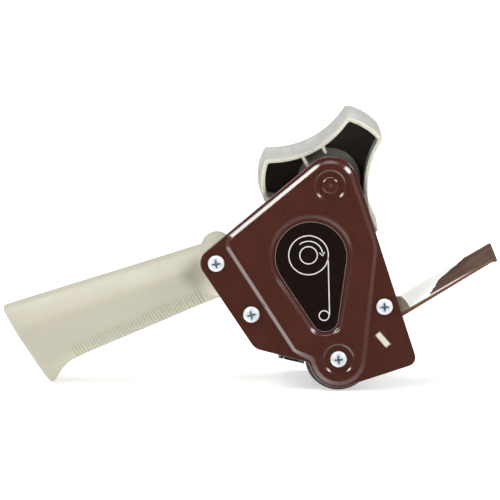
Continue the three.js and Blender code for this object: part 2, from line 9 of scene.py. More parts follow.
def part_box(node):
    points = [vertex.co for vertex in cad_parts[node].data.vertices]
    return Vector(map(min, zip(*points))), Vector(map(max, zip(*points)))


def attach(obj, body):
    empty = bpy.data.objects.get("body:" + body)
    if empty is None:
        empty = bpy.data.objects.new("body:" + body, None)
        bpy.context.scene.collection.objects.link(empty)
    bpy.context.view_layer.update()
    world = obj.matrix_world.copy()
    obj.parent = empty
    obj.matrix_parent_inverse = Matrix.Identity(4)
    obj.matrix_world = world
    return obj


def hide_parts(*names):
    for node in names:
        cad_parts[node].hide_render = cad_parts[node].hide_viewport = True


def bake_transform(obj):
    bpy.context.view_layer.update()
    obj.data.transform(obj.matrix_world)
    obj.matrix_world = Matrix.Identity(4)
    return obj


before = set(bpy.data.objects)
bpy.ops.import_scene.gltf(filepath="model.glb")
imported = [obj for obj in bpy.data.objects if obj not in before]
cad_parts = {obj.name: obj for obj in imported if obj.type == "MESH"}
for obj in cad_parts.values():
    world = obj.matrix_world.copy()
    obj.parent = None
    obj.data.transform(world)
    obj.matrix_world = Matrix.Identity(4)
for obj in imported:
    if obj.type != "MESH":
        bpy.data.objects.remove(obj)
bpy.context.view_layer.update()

MM = 0.001
WELD = 1e-7  # points closer than this in a piece, in metres, are one point

# Every piece is drawn in millimetres about the hub axis: x towards the front plate, z up, and
# y away from the side plate's outer face, which is y = 0.
PLATE = 1.5
_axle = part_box("hub_axle")
_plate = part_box("side_plate")
ORIGIN = Vector(((_axle[0].x + _axle[1].x) / 2, _plate[1].y - PLATE * MM, (_axle[0].z + _axle[1].z) / 2))

HUB = (0.0, 0.0)
ROLLER = (4.8, -92.9)
UPPER_SCREW = (-59.7, -41.7)
LOWER_SCREW = (-41.2, -69.0)
FRONT_SCREW = (28.9, -64.8)
PANEL_RISE = 1.6
HUB_NEAR, HUB_FAR, HUB_WALL, HUB_TURN = 6.5, 54.5, 1.8, -2.3
CONTACT = 0.05  # the gap left between faces that touch
# The front plate and the lug are each drawn along x from a point, then turned to an angle.
FRONT_PLATE, FRONT_LENGTH, FRONT_HIDDEN = ((38.7, -71.1), 30.8), 57.2, 9
FRONT_NEAR, FRONT_FAR = 4, 48
LUG, LUG_LENGTH, LUG_THICK = ((28.1, -82.6), -49), 8.6, 3.0


# --- Plane geometry
def away(at, degrees, distance):
    a = math.radians(degrees)
    return at[0] + distance * math.cos(a), at[1] + distance * math.sin(a)


def belt(circles, steps=24):
    """Points of a belt round circles (x, z, r) listed anticlockwise; negative r bends it inwards."""
    n = len(circles)
    ends = []
    for i in range(n):
        (ax, az, ar), (bx, bz, br) = circles[i], circles[(i + 1) % n]
        lean = math.acos(max(-1, min(1, (ar - br) / math.hypot(bx - ax, bz - az))))
        ends.append(math.atan2(bz - az, bx - ax) - lean)
    points = []
    for i, (x, z, r) in enumerate(circles):
        start, end = ends[i - 1], ends[i]
        turn = (end - start) % (2 * math.pi)
        if r < 0:
            turn -= 2 * math.pi
        for k in range(steps + 1):
            a = start + turn * k / steps
            points.append((x + r * math.cos(a), z + r * math.sin(a)))
    return points


def grown(circles, by):
    return [(x, z, r + by) for x, z, r in circles]


def between(a, b, t):
    """The belt a share t of the way from belt a to belt b, circle by circle."""
    return [tuple(p + (q - p) * t for p, q in zip(c, d)) for c, d in zip(a, b)]


def circle(at, r, steps):
    return [away(at, 360 * k / steps, r) for k in range(steps)]


def spaced(points, gap):
    """A closed line with its long straight runs divided into steps of about gap."""
    out = []
    for i, p in enumerate(points):
        q = points[(i + 1) % len(points)]
        length = math.dist(p, q)
        if length < 1e-4:
            continue
        count = max(1, round(length / gap))
        out += [(p[0] + (q[0] - p[0]) * k / count, p[1] + (q[1] - p[1]) * k / count) for k in range(count)]
    return out


def signed(points, line):
    """Distance from each point to a closed line, positive inside."""
    p = np.asarray(points, float)
    a = np.asarray(line, float)
    b = np.roll(a, -1, axis=0)
    d = b - a
    best = np.full(len(p), 1e9)
    inside = np.zeros(len(p), bool)
    for k in range(len(a)):
        length = float(d[k] @ d[k])
        if length < 1e-12:
            continue
        t = np.clip(((p - a[k]) @ d[k]) / length, 0, 1)
        best = np.minimum(best, np.hypot(*(p - a[k] - t[:, None] * d[k]).T))
        crosses = (a[k, 1] > p[:, 1]) != (b[k, 1] > p[:, 1])
        with np.errstate(divide="ignore", invalid="ignore"):
            x = a[k, 0] + (p[:, 1] - a[k, 1]) * d[k, 0] / d[k, 1]
        inside ^= crosses & (p[:, 0] < x)
    return np.where(inside, best, -best)


def ramp(t, corner):
    """0 to 1 with a straight middle and rounded ends."""
    t = np.clip(t, 0, 1)
    top = 2 * corner * (1 - corner)
    low = t * t / top
    high = 1 - (1 - t) ** 2 / top
    return np.where(t < corner, low, np.where(t > 1 - corner, high, (t - corner / 2) / (1 - corner)))


# Shares of a ramp at which the plate's mesh has a line of points.
RAMP_LINES = [0, 0.07, 0.14, 0.22, 0.33, 0.45, 0.55, 0.67, 0.78, 0.86, 0.93, 1]


# --- Mesh pieces
def mesh_of(name, verts, faces, weld):
    """A mesh with its doubled points joined and its faces turned outwards."""
    mesh = bpy.data.meshes.new(name)
    mesh.from_pydata(verts, [], faces)
    bm = bmesh.new()
    bm.from_mesh(mesh)
    bmesh.ops.remove_doubles(bm, verts=bm.verts, dist=weld)
    bmesh.ops.recalc_face_normals(bm, faces=bm.faces)
    bm.to_mesh(mesh)
    bm.free()
    return mesh


def added(name, data):
    obj = bpy.data.objects.new(name, data)
    bpy.context.scene.collection.objects.link(obj)
    return obj


def piece(name, part, slot, node=None, body="frame", paint=None, sharp=35, weighted=False):
    """A piece from a part in millimetres about the hub axis, with its slot's paint or another."""
    mesh = mesh_of(name, [ORIGIN + Vector(v) * MM for v in part[0]], part[1], WELD)
    obj = added(name, mesh)
    mesh.shade_smooth()
    mesh.set_sharp_from_angle(angle=math.radians(sharp))
    mesh.materials.append(PAINTS[paint or slot].material)
    if weighted:
        obj.modifiers.new("weighted normals", "WEIGHTED_NORMAL").keep_sharp = True
    if body:
        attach(obj, body)
    if node:
        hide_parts(node)
    return obj


def second_paint(obj, paint, chosen):
    """Another paint on the faces chosen by middle, in millimetres about the hub axis, and normal."""
    obj.data.materials.append(PAINTS[paint].material)
    for face in obj.data.polygons:
        face.material_index = int(chosen((face.center - ORIGIN) / MM, face.normal))


def skin(rings, closed=False):
    """Verts and faces through rings of the same number of points."""
    count = len(rings[0])
    verts = [p for ring in rings for p in ring]
    faces = []
    for k in range(len(rings) if closed else len(rings) - 1):
        here, there = k * count, (k + 1) % len(rings) * count
        for i in range(count):
            j = (i + 1) % count
            faces.append((here + i, here + j, there + j, there + i))
    if not closed:
        faces.append(tuple(range(count))[::-1])
        faces.append(tuple(range(len(verts) - count, len(verts))))
    return verts, faces


def rounded(profile, r, steps=4, closed=False):
    """A profile with its corners rounded to radius r, or to less where its sides are short."""
    out = []
    n = len(profile)
    for i, p in enumerate(profile):
        if not closed and i in (0, n - 1):
            out.append(p)
            continue
        here, back, on = Vector(p), Vector(profile[i - 1]), Vector(profile[(i + 1) % n])
        u, v = (back - here), (on - here)
        angle = u.angle(v)
        if angle > math.radians(175):
            out.append(p)
            continue
        reach = min(r / math.tan(angle / 2), u.length * 0.45, v.length * 0.45)
        a, b = here + u.normalized() * reach, here + v.normalized() * reach
        for k in range(steps + 1):
            t = k / steps
            q = a.lerp(here, t).lerp(here.lerp(b, t), t)
            out.append(tuple(q))
    return out


def lathe(at, profile, segments=96, ring=False):
    """Turned about a line along y: profile points are (radius, y), from axis to axis or a closed ring."""
    rings = [[(x, y, z) for x, z in circle(at, r, segments)] for r, y in profile if r > 0]
    return skin(rings, closed=ring)


def rod(at, r, near, far, segments=96, edge=0.0):
    """A solid cylinder along y, its ends rounded where an edge is given."""
    profile = [(0, near), (r, near), (r, far), (0, far)]
    return lathe(at, rounded(profile, edge) if edge else profile, segments)


def merged(*parts):
    verts, faces = [], []
    for v, f in parts:
        faces += [tuple(i + len(verts) for i in face) for face in f]
        verts += list(v)
    return verts, faces


def stack(outline, levels):
    """Rings of one outline at (amount grown, y) levels; outline is a function of the amount grown."""
    return skin([[(x, y, z) for x, z in outline(by)] for by, y in levels])


def placed(part, at, angle):
    """A part drawn along x at 0, 0, turned to an angle above x and moved to a point."""
    c, s = math.cos(math.radians(angle)), math.sin(math.radians(angle))
    verts = [(at[0] + x * c - z * s, y, at[1] + x * s + z * c) for x, y, z in part[0]]
    return verts, part[1]


def block(x, y, z, edge, steps=2):
    """A box between pairs of numbers, its edges rounded."""
    bm = bmesh.new()
    bmesh.ops.create_cube(bm, size=1)
    for v in bm.verts:
        v.co = [p[0] + (p[1] - p[0]) * (c + 0.5) for c, p in zip(v.co, (x, y, z))]
    bmesh.ops.bevel(bm, geom=bm.edges, offset=edge, segments=steps, profile=0.5, affect="EDGES")
    part = [tuple(v.co) for v in bm.verts], [tuple(v.index for v in f.verts) for f in bm.faces]
    bm.free()
    return part


def combined(operation, base, *others):
    """Solid work on parts in millimetres: UNION or DIFFERENCE of the others with the base."""
    main, *tools = [added("work", mesh_of("work", *part, 1e-5)) for part in (base, *others)]
    for tool in tools:
        modifier = main.modifiers.new("step", "BOOLEAN")
        modifier.operation, modifier.solver, modifier.object = operation, "EXACT", tool
    bpy.context.view_layer.update()
    made = bpy.data.meshes.new_from_object(main.evaluated_get(bpy.context.evaluated_depsgraph_get()))
    for obj in (main, *tools):
        bpy.data.objects.remove(obj)
    return [tuple(v.co) for v in made.vertices], [tuple(p.vertices) for p in made.polygons]


# --- Materials
class Nodes:
    """Short ways to add nodes to one tree and to link them."""

    def __init__(self, tree, space):
        self.tree = tree
        self.place = self.node("ShaderNodeTexCoord").outputs[space]

    def node(self, kind, *sources, **values):
        """A node with settings and socket values, its first sockets linked from the sources."""
        node = self.tree.nodes.new(kind)
        for key, value in values.items():
            if hasattr(node, key):
                setattr(node, key, value)
            else:
                node.inputs[key.replace("_", " ")].default_value = value
        for source, target in zip(sources, node.inputs):
            self.link(source, target)
        return node

    def link(self, source, target):
        self.tree.links.new(source, target)

    def axis(self, name):
        return self.node("ShaderNodeSeparateXYZ", self.place).outputs[name]

    def math(self, operation, *sources):
        return self.node("ShaderNodeMath", *sources, operation=operation).outputs[0]

    def between(self, source, low, high, start=0.0, end=1.0):
        """A smooth step from start to end while the source goes from low to high."""
        return self.node("ShaderNodeMapRange", source, interpolation_type="SMOOTHSTEP", From_Min=low,
                         From_Max=high, To_Min=start, To_Max=end).outputs["Result"]


class Paint(Nodes):
    """One node material: socket values, a tinted base colour, roughness variation and bumps."""

    def __init__(self, name, colour, roughness, tints=(), rough=None, bumps=(), specular=0.5,
                 metallic=0.0, **sockets):
        self.material = bpy.data.materials.new(name)
        self.material.use_nodes = True
        super().__init__(self.material.node_tree, "Object")
        self.shader = self.tree.nodes["Principled BSDF"]
        self.colour = (*colour, 1)
        self.bumps = None
        values = {"Base Color": self.colour, "Roughness": roughness, "Metallic": metallic,
                  "Specular IOR Level": specular}
        values.update((key.replace("_", " "), value) for key, value in sockets.items())
        for key, value in values.items():
            self.shader.inputs[key].default_value = value
        for row in tints:
            self.mottle(*row)
        if rough:
            noise, low, high = rough
            self.link(self.between(self.noise(*noise), 0.3, 0.7, low, high), self.shader.inputs["Roughness"])
        for row in bumps:
            self.bump(*row)

    def noise(self, scale, detail, stretch=None, distortion=0.0):
        """Noise at a number of cells per metre, stretched along an axis if asked."""
        place = self.place
        if stretch:
            place = self.node("ShaderNodeMapping", place, Scale=stretch).outputs["Vector"]
        return self.node("ShaderNodeTexNoise", place, Scale=scale, Detail=detail,
                         Distortion=distortion).outputs["Fac"]

    def near(self, spot, *spread):
        """A smooth step by the distance from a spot in millimetres about the hub axis."""
        distance = self.node("ShaderNodeVectorMath", self.place, operation="DISTANCE")
        distance.inputs[1].default_value = ORIGIN + Vector(spot) * MM
        return self.between(distance.outputs["Value"], *spread)

    def tint(self, factor, colour):
        """Mixes another colour over what the base colour holds so far, where factor is 1."""
        mix = self.node("ShaderNodeMix", factor, data_type="RGBA")
        base, under, over = self.shader.inputs["Base Color"], mix.inputs[6], mix.inputs[7]
        under.default_value, over.default_value = self.colour, (*colour, 1)
        if base.is_linked:
            self.link(base.links[0].from_socket, under)
        self.link(mix.outputs[2], base)

    def mottle(self, noise, spread, colour):
        """A tint in patches."""
        self.tint(self.between(self.noise(*noise), *spread), colour)

    def bump(self, noise, depth):
        """Bumps of a depth in millimetres, over those made before."""
        node = self.node("ShaderNodeBump", Strength=1.0, Distance=depth * MM)
        self.link(self.noise(*noise), node.inputs["Height"])
        if self.bumps:
            self.link(self.bumps, node.inputs["Normal"])
        self.bumps = node.outputs["Normal"]
        self.link(self.bumps, self.shader.inputs["Normal"])


# Rows: name, colour, roughness, tints (noise, spread, colour), roughness (noise, low, high) and
# bumps (noise, depth). A noise is its cells per metre, detail, stretch and distortion.
GRAIN = [((1500, 2), 0.012), ((160, 2), 0.03)]


def brown_paint(name, colour):
    tints = [((60, 4), (0.35, 0.7), [c * 1.14 for c in colour]),
             ((900, 1), (0.83, 0.86), (0.16, 0.10, 0.075))]
    return Paint(name, colour, 0.14, tints, ((35, 3), 0.12, 0.17), [((300, 2), 0.001)], specular=1.0,
                 Coat_Weight=0.6, Coat_Roughness=0.08)


def brushed(name, colour, roughness, stretch):
    lines = (2500, 3, stretch)
    return Paint(name, colour, roughness, [(lines, (0.3, 0.7), [c * 0.72 for c in colour])],
                 (lines, roughness - 0.06, roughness + 0.12), [(lines, 0.01)], metallic=1.0)


def hub_plastic():
    """Cream rim, and sides that tape cores have scuffed to a blotchy grey."""
    paint = Paint("hub moulded plastic", (0.62, 0.60, 0.49), 0.46, (), ((45, 4), 0.4, 0.58), GRAIN, 0.4)
    rim = ORIGIN.y + (HUB_NEAR + 0.6) * MM
    behind = paint.between(paint.axis("Y"), rim, rim + 0.0003)
    paint.tint(behind, (0.40, 0.41, 0.375))
    blotches = paint.between(paint.noise(90, 6, (1, 0.35, 1), 0.2), 0.42, 0.7, 0, 0.6)
    paint.tint(paint.math("MULTIPLY", behind, blotches), (0.54, 0.545, 0.51))
    paint.mottle((300, 5, (1, 0.3, 1)), (0.56, 0.7, 0, 0.45), (0.31, 0.305, 0.27))
    return paint


def handle_plastic_painted_shade():
    """The handle's plastic, with painted shade in the cove where the grip meets its root."""
    tints = [((28, 3), (0.3, 0.75, 0, 0.35), (0.50, 0.485, 0.395)),
             ((120, 6, None, 0.3), (0.5, 0.75, 0, 0.15), (0.38, 0.355, 0.275))]
    paint = Paint("cream handle plastic", (0.435, 0.416, 0.328), 0.42, tints, ((45, 4), 0.34, 0.5),
                  GRAIN, 0.45)
    # painted shade: a soft dark patch on each side of the root, in the cove where the grip meets it
    for depth in (8, 43):
        paint.tint(paint.near((-71, depth, -48.5), 0.001, 0.0125, 0.62, 0), (0.20, 0.18, 0.13))
    return paint


def cheek_plastic_painted_shade():
    """The end wall beside the plate's edge: its dark base colour is painted shade from the side plate, and
    it is paler towards its rim as painted light.
    """
    # painted shade: the dark base colour stands in for the side plate's shadow on cream plastic
    paint = Paint("cream plastic in painted shade", (0.15, 0.125, 0.085), 0.5, specular=0.3)
    # painted light: paler towards the rim beside the front plate
    paint.tint(paint.near((41.5, 2.4, -70), 0.0005, 0.0035, 0.9, 0), (0.5, 0.48, 0.38))
    paint.mottle((300, 4), (0.4, 0.7, 0, 0.5), (0.25, 0.215, 0.165))
    return paint


def label_edge_highlight():
    """The film's cut edge, paler than its printed face as a painted highlight where the edge catches light.
    """
    paint = Paint("label film edge", (0.30, 0.25, 0.23), 0.5, specular=0.2)
    paint.tint(paint.noise(200, 3), (0.22, 0.17, 0.155))
    return paint


# how far along the top the painted reflection reaches, in metres, and the spread of its ragged edge
REFLECTION_LENGTH, RAGGED = 0.021, 0.009


def front_plate_top_painted_reflection():
    """Painted reflection: near-white near the root, brown towards the tip, with a ragged edge between, and a
    painted highlight as a pale strip along the near edge.
    """
    paint = Paint("front plate top", (0.085, 0.045, 0.031), 0.5, [
        ((110, 5, (0.5, 1, 0.5)), (0.42, 0.68), (0.115, 0.072, 0.054)),
        ((60, 3), (0.5, 0.8, 0, 0.8), (0.068, 0.030, 0.019)),
        ((700, 2), (0.70, 0.78, 0, 0.7), (0.28, 0.24, 0.20)),
    ], specular=0.02)
    (x, z), angle = FRONT_PLATE
    slant = Vector((math.cos(math.radians(angle)), -0.30, math.sin(math.radians(angle))))
    root = ORIGIN + Vector((x, FRONT_NEAR, z)) * MM
    edge = root.dot(slant) + REFLECTION_LENGTH
    along = paint.node("ShaderNodeVectorMath", paint.place, operation="DOT_PRODUCT")
    along.inputs[1].default_value = slant
    along = along.outputs["Value"]
    ragged = paint.node("ShaderNodeMath", paint.noise(160, 4), operation="MULTIPLY_ADD")
    ragged.inputs[1].default_value = RAGGED
    paint.link(along, ragged.inputs[2])
    across = paint.axis("Y")
    bent = paint.math("ADD", ragged.outputs[0],
                      paint.between(across, root.y + 0.022, root.y + 0.052, 0, -0.016))
    # painted reflection: near-white over the root part of the top
    paint.tint(paint.between(bent, edge - 0.0002, edge + 0.0002, 1, 0), (1, 1, 0.995))
    # painted highlight: a pale strip along the near edge, fading towards the tip
    near_edge_highlight = paint.math("MULTIPLY", paint.between(across, root.y + 0.001, root.y + 0.0045, 0.9, 0),
                      paint.between(along, edge + 0.008, edge + 0.026, 1, 0))
    paint.tint(near_edge_highlight, (0.85, 0.82, 0.80))
    return paint


PAINTS = {
    "brown_paint": brown_paint("brown gloss paint", (0.062, 0.0165, 0.0105)),
    # painted light: a lighter copy of the frame's brown paint, for the front plate's brighter edges and
    # grazing reflections
    "front_plate_steel": brown_paint("lighter brown paint as painted light", (0.145, 0.070, 0.044)),
    "front_plate_top_painted_reflection": front_plate_top_painted_reflection(),
    "cheek": cheek_plastic_painted_shade(),
    "handle_plastic_painted_shade": handle_plastic_painted_shade(),
    "hub_plastic": hub_plastic(),
    "label_edge_highlight": label_edge_highlight(),
    "bright_steel": brushed("satin steel", (0.56, 0.56, 0.55), 0.32, (1, 0.04, 1)),
    "blade_steel": brushed("ground steel", (0.60, 0.60, 0.60), 0.28, (0.05, 1, 0.05)),
    "cream_plastic": Paint("cream moulded plastic", (0.60, 0.575, 0.455), 0.42, [
        ((28, 3), (0.3, 0.75, 0, 0.35), (0.66, 0.64, 0.53)),
        ((120, 6, None, 0.3), (0.5, 0.75, 0, 0.12), (0.50, 0.47, 0.37)),
    ], ((45, 4), 0.34, 0.52), GRAIN, 0.45),
    "black_plastic": Paint("black moulded plastic", (0.046, 0.032, 0.025), 0.42, [
        ((50, 4), (0.4, 0.8, 0, 0.6), (0.060, 0.048, 0.041)),
    ], ((60, 4), 0.34, 0.52), [((1300, 2), 0.012)], 0.35),
    "label_film": Paint("black label film", (0.0098, 0.0056, 0.0050), 0.12, [
        ((300, 2), (0.62, 0.75, 0, 0.4), (0.014, 0.010, 0.009)),
    ], ((50, 4), 0.1, 0.16), [((200, 2), 0.004)], 0.12),
    "print_ink": Paint("light print", (0.66, 0.65, 0.62), 0.5, [
        ((700, 2), (0.5, 0.8, 0, 0.5), (0.42, 0.41, 0.39)),
    ]),
    "grey_paint": Paint("grey matt paint", (0.22, 0.22, 0.18), 0.55, [
        ((40, 4), (0.3, 0.7), (0.17, 0.17, 0.135)),
    ], ((80, 3), 0.45, 0.65), [((700, 3), 0.02)], 0.35),
    "friction_fibre": Paint("friction fibre", (0.17, 0.135, 0.09), 0.95, [
        ((900, 5), (0.35, 0.7), (0.09, 0.07, 0.05)),
    ], None, [((1800, 4), 0.12)], 0.2),
    "roller_rubber": Paint("grey rubber", (0.052, 0.050, 0.047), 0.6, [
        ((60, 4), (0.4, 0.75), (0.085, 0.083, 0.080)),
    ], ((100, 3), 0.5, 0.75), [((1400, 3), 0.03)], 0.35),
    "zinc_steel": Paint("bright zinc plate", (0.84, 0.87, 0.89), 0.26, [
        ((260, 3), (0.4, 0.75), (0.72, 0.79, 0.86)),
        ((420, 3), (0.62, 0.8, 0, 0.6), (0.78, 0.74, 0.60)),
    ], ((500, 3), 0.24, 0.42), [((900, 2), 0.012)], metallic=0.35),
    # dull blue-grey plating in the cross recesses, darkened further as painted shade
    "recess_zinc_and_shade": Paint("recess zinc plate", (0.24, 0.33, 0.41), 0.45, [
        ((700, 2), (0.4, 0.7), (0.30, 0.38, 0.45)),
    ], metallic=0.3),
}


# --- Side plate: a pressed sheet, raised panel, label recess and two dishes
PLATE_BELT = [
    (*HUB, 15), (*UPPER_SCREW, 8.3), (-34.5, -80.6, 8),
    (*away(ROLLER, 197.7, 20.6), -5), (*ROLLER, 15.6), (40.6, -92.3, 4.9),
]
PANEL_TOP = [
    (*HUB, 10.9), (-48, -31.2, 4.3), (-15.2, -84.7, 3.2),
    (*away(ROLLER, 187, 16.4), -5), (*ROLLER, 11.4), (3.9, -34.7, 18.6),
]
PANEL_FOOT = [
    (*HUB, 13.6), (-48.2, -31.5, 6.9), (-15.2, -84.7, 6.1),
    (*away(ROLLER, 193, 19.2), -4), (*ROLLER, 15.1), (3.9, -34.7, 21.3),
]
LABEL_BELT = [(-9.9, -38.2, 18.9), (-2.4, -71.2, 7.1)]
RECESS_TOP = [(-9.7, -37.6, 23.4), (-2.4, -71.2, 10.4)]
RECESS_FOOT = grown(LABEL_BELT, 0.45)
RECESS = 1.3
DISH = 0.8
DISH_OUT, DISH_IN = 8.9, 6.9
EDGE_ROUND = 0.5
PANEL_CORNER, RECESS_CORNER, DISH_CORNER = 0.22, 0.45, 0.35
# The plate's mesh has points this far apart on its outlines and on a grid between them.
LINE_GAP, GRID, GRID_SHIFT = 1.6, 5.5, 2.7


def plate_slot():
    half, low, high = LUG_LENGTH / 2, -1.8, 2.0
    corners = [(-half - 0.3, low), (half + 0.8, low), (half + 0.8, high), (-half - 0.3, high)]
    part = placed(([(x, 0, z) for x, z in rounded(corners, 0.3, closed=True)], []), *LUG)
    return [(x, z) for x, _, z in part[0]]


def climb(points, foot, top, corner):
    """0 outside the foot belt, 1 inside the top belt, and a ramp between them."""
    foot, top = (signed(points, spaced(belt(circles), 3)) for circles in (foot, top))
    return ramp(np.where(top > 0, 1, np.where(foot < 0, 0, foot / np.maximum(foot - top, 1e-6))), corner)


def plate_height(points, with_edge=True):
    """How far the plate's face stands out from its base plane at each point."""
    p = np.asarray(points, float)
    height = PANEL_RISE * climb(p, PANEL_FOOT, PANEL_TOP, PANEL_CORNER)
    height -= RECESS * climb(p, RECESS_TOP, RECESS_FOOT, RECESS_CORNER)
    for at in (HUB, ROLLER):
        r = np.hypot(p[:, 0] - at[0], p[:, 1] - at[1])
        height -= DISH * ramp((DISH_OUT - r) / (DISH_OUT - DISH_IN), DISH_CORNER)
    if with_edge:
        e = np.clip(signed(p, spaced(belt(PLATE_BELT), 2)), 0, EDGE_ROUND)
        height -= EDGE_ROUND - np.sqrt(EDGE_ROUND ** 2 - (EDGE_ROUND - e) ** 2)
    return height


def make_plate():
    lines = [spaced(belt(grown(PLATE_BELT, -inset)), LINE_GAP) for inset in (0, 0.08, 0.2, 0.5)]
    lines += [spaced(belt(between(PANEL_FOOT, PANEL_TOP, t)), LINE_GAP) for t in RAMP_LINES]
    lines += [spaced(belt(between(RECESS_TOP, RECESS_FOOT, t), 32), LINE_GAP) for t in RAMP_LINES]
    for at in (HUB, ROLLER):
        lines += [circle(at, DISH_OUT + (DISH_IN - DISH_OUT) * t, 80)
                  for t in (0, 0.18, 0.35, 0.5, 0.65, 0.82, 1)]
    slot = plate_slot()
    lines.append(slot)
    verts, edges = [], []
    for line in lines:
        first = len(verts)
        verts += [Vector(p) for p in line]
        edges += [(first + i, first + (i + 1) % len(line)) for i in range(len(line))]
    xs, zs = np.arange(-68, 46, GRID), np.arange(-108, 16, GRID)
    grid = [(x + (GRID_SHIFT if k % 2 else 0), z) for k, z in enumerate(zs) for x in xs]
    keep = signed(grid, lines[0]) > 2
    verts += [Vector(p) for p, ok in zip(grid, keep) if ok]
    flat, _, faces, *_ = geometry.delaunay_2d_cdt(verts, edges, [], 0, 1e-5)
    points = np.array([(v.x, v.y) for v in flat])
    middles = np.array([points[list(f)].mean(0) for f in faces])
    good = (signed(middles, lines[0]) > 0) & (signed(middles, slot) < 0)
    faces = [f for f, ok in zip(faces, good) if ok]
    used = sorted({i for f in faces for i in f})
    new = {old: k for k, old in enumerate(used)}
    points = points[used]
    faces = [tuple(new[i] for i in f) for f in faces]
    front = -plate_height(points)
    back = PLATE - plate_height(points, with_edge=False)
    count = len(points)
    verts = [(x, y, z) for (x, z), y in zip(points, front)] + [(x, y, z) for (x, z), y in zip(points, back)]
    sides = {}
    for a, b, c in faces:
        for i, j in ((a, b), (b, c), (c, a)):
            sides[(i, j)] = sides.get((i, j), 0) + 1
    rim = [(i, j) for i, j in sides if (j, i) not in sides]
    walls = [(i, j, j + count, i + count) for i, j in rim]
    faces = faces + [tuple(i + count for i in f[::-1]) for f in faces] + walls
    piece("side_plate_pressing", (verts, faces), "brown_paint", "side_plate", sharp=50, weighted=True)


make_plate()


# --- Label
LABEL_Y, LABEL_TOP = RECESS - PANEL_RISE, 0.34
DIAGRAM_ROLL, DIAGRAM_ROLLER = (-11.2, -37.2), (-2.9, -69.5)
DIAGRAM_LINE, DIAGRAM_INK = 0.55, 0.012


def stroke(points, width, low, high, closed=False):
    """A flat line of even width through the points, from depth low to depth high."""
    rings = []
    count = len(points)
    for i, point in enumerate(points):
        before = Vector(points[i - 1] if closed or i else point)
        after = Vector(points[(i + 1) % count] if closed or i < count - 1 else point)
        along = (after - before).normalized()
        side = Vector((-along.y, along.x)) * width / 2
        left, right = Vector(point) - side, Vector(point) + side
        rings.append([(left.x, low, left.y), (right.x, low, right.y),
                      (right.x, high, right.y), (left.x, high, left.y)])
    return skin(rings, closed=closed)


def make_label():
    floor, top = LABEL_Y - CONTACT / 2, LABEL_Y - LABEL_TOP
    levels = [(0, floor), (0, top + 0.12), (-0.05, top + 0.04), (-0.22, top)]
    part = stack(lambda by: belt(grown(LABEL_BELT, by), 40), levels)
    sheet = piece("label_sheet", part, "label_film", "label", sharp=20)
    # the label's edges take the paint with the painted highlight
    second_paint(sheet, "label_edge_highlight", lambda spot, normal: abs(normal.y) < 0.99)
    # a plain threading diagram: the roll and its core, the roller, the tape between them and an arrow
    arc = [away(DIAGRAM_ROLL, 130 - 10 * k, 7.5) for k in range(13)]
    tip = away(DIAGRAM_ROLL, -2, 7.4)
    lines = [
        (circle(DIAGRAM_ROLL, 10.4, 72), True),
        (circle(DIAGRAM_ROLL, 4.6, 48), True),
        (circle(DIAGRAM_ROLLER, 2.6, 40), True),
        ([away(DIAGRAM_ROLL, -8, 10.4), away(DIAGRAM_ROLLER, 8, 2.9)], False),
        (arc, False),
        ([away(tip, 62, 2.2), tip, away(tip, 138, 2.2)], False),
    ]
    marks = [stroke(points, DIAGRAM_LINE, top - DIAGRAM_INK, top, closed) for points, closed in lines]
    piece("label_diagram", merged(*marks), "label_film", paint="print_ink")


make_label()


# --- Screws and rivets
# The dome meets the head's side at this share of its radius. The cross recess ends within a share
# of the radius, and its walls and floor lie at least this far below the dome.
HEAD_BULGE = 0.985
CROSS_REACH, CROSS_SKIN = 0.75, 0.12


def crown(rise):
    """The share of a head's height that its dome has, from the cosine of the dome's angle."""
    return 0.3 + 0.7 * rise ** 1.1


def pan_head(r, height, steps=64):
    """A pan head on y = 0, its top towards -y, with a cross recess, drawn about 0, 0."""
    turns = [math.pi / 2 * k / 14 for k in range(1, 14)]
    dome = [(r * HEAD_BULGE * math.sin(a), -height * crown(math.cos(a))) for a in turns]
    profile = [(0, -height), *dome, (r, -height * 0.26), (r, -height * 0.05), (r * HEAD_BULGE, 0), (0, 0)]
    head = lathe((0, 0), profile, steps)
    arm, width, depth = r * 0.6, r * 0.12, height * 0.7
    tools = []
    for angle in (0, 90):
        top = [(-arm, -width), (arm, -width), (arm, width), (-arm, width)]
        low = [(x * 0.42, z * 0.62) for x, z in top]
        rings = [[(x * 1.12, -height - 0.3, z * 1.12) for x, z in top],
                 [(x, -height + depth, z) for x, z in low]]
        tools.append(placed(skin(rings), (0, 0), angle))
    cone = [[(*away((0, 0), 45 + 90 * k, s), y) for k in range(4)] for s, y in
            ((r * 0.24, -height - 0.3), (r * 0.12, -height + depth * 1.05))]
    tools.append(skin([[(x, y, z) for x, z, y in ring] for ring in cone]))
    return combined("DIFFERENCE", head, *tools)


HEAD_SIZE, SMALL_HEAD_SIZE = (4.3, 2.35), (3.2, 1.8)
HEADS = {size: pan_head(*size) for size in (HEAD_SIZE, SMALL_HEAD_SIZE)}


def shade_cross(obj, at, seat, size, facing):
    """Gives the walls and floor of a head's cross recess their own paint: duller plating and painted shade.
    """
    radius, height = size

    def in_recess(spot, normal):
        out = math.hypot(spot.x - at[0], spot.z - at[1]) / (radius * HEAD_BULGE)
        if out >= CROSS_REACH:
            return False
        dome = height * crown(math.sqrt(1 - out * out))
        return 0 < (seat - spot.y) * facing < dome - CROSS_SKIN

    second_paint(obj, "recess_zinc_and_shade", in_recess)


def turned_over(part, seat, facing):
    """A part moved to a seat, and turned to face the far side where facing is -1."""
    return [(x, seat + facing * y, z) for x, y, z in part[0]], part[1]


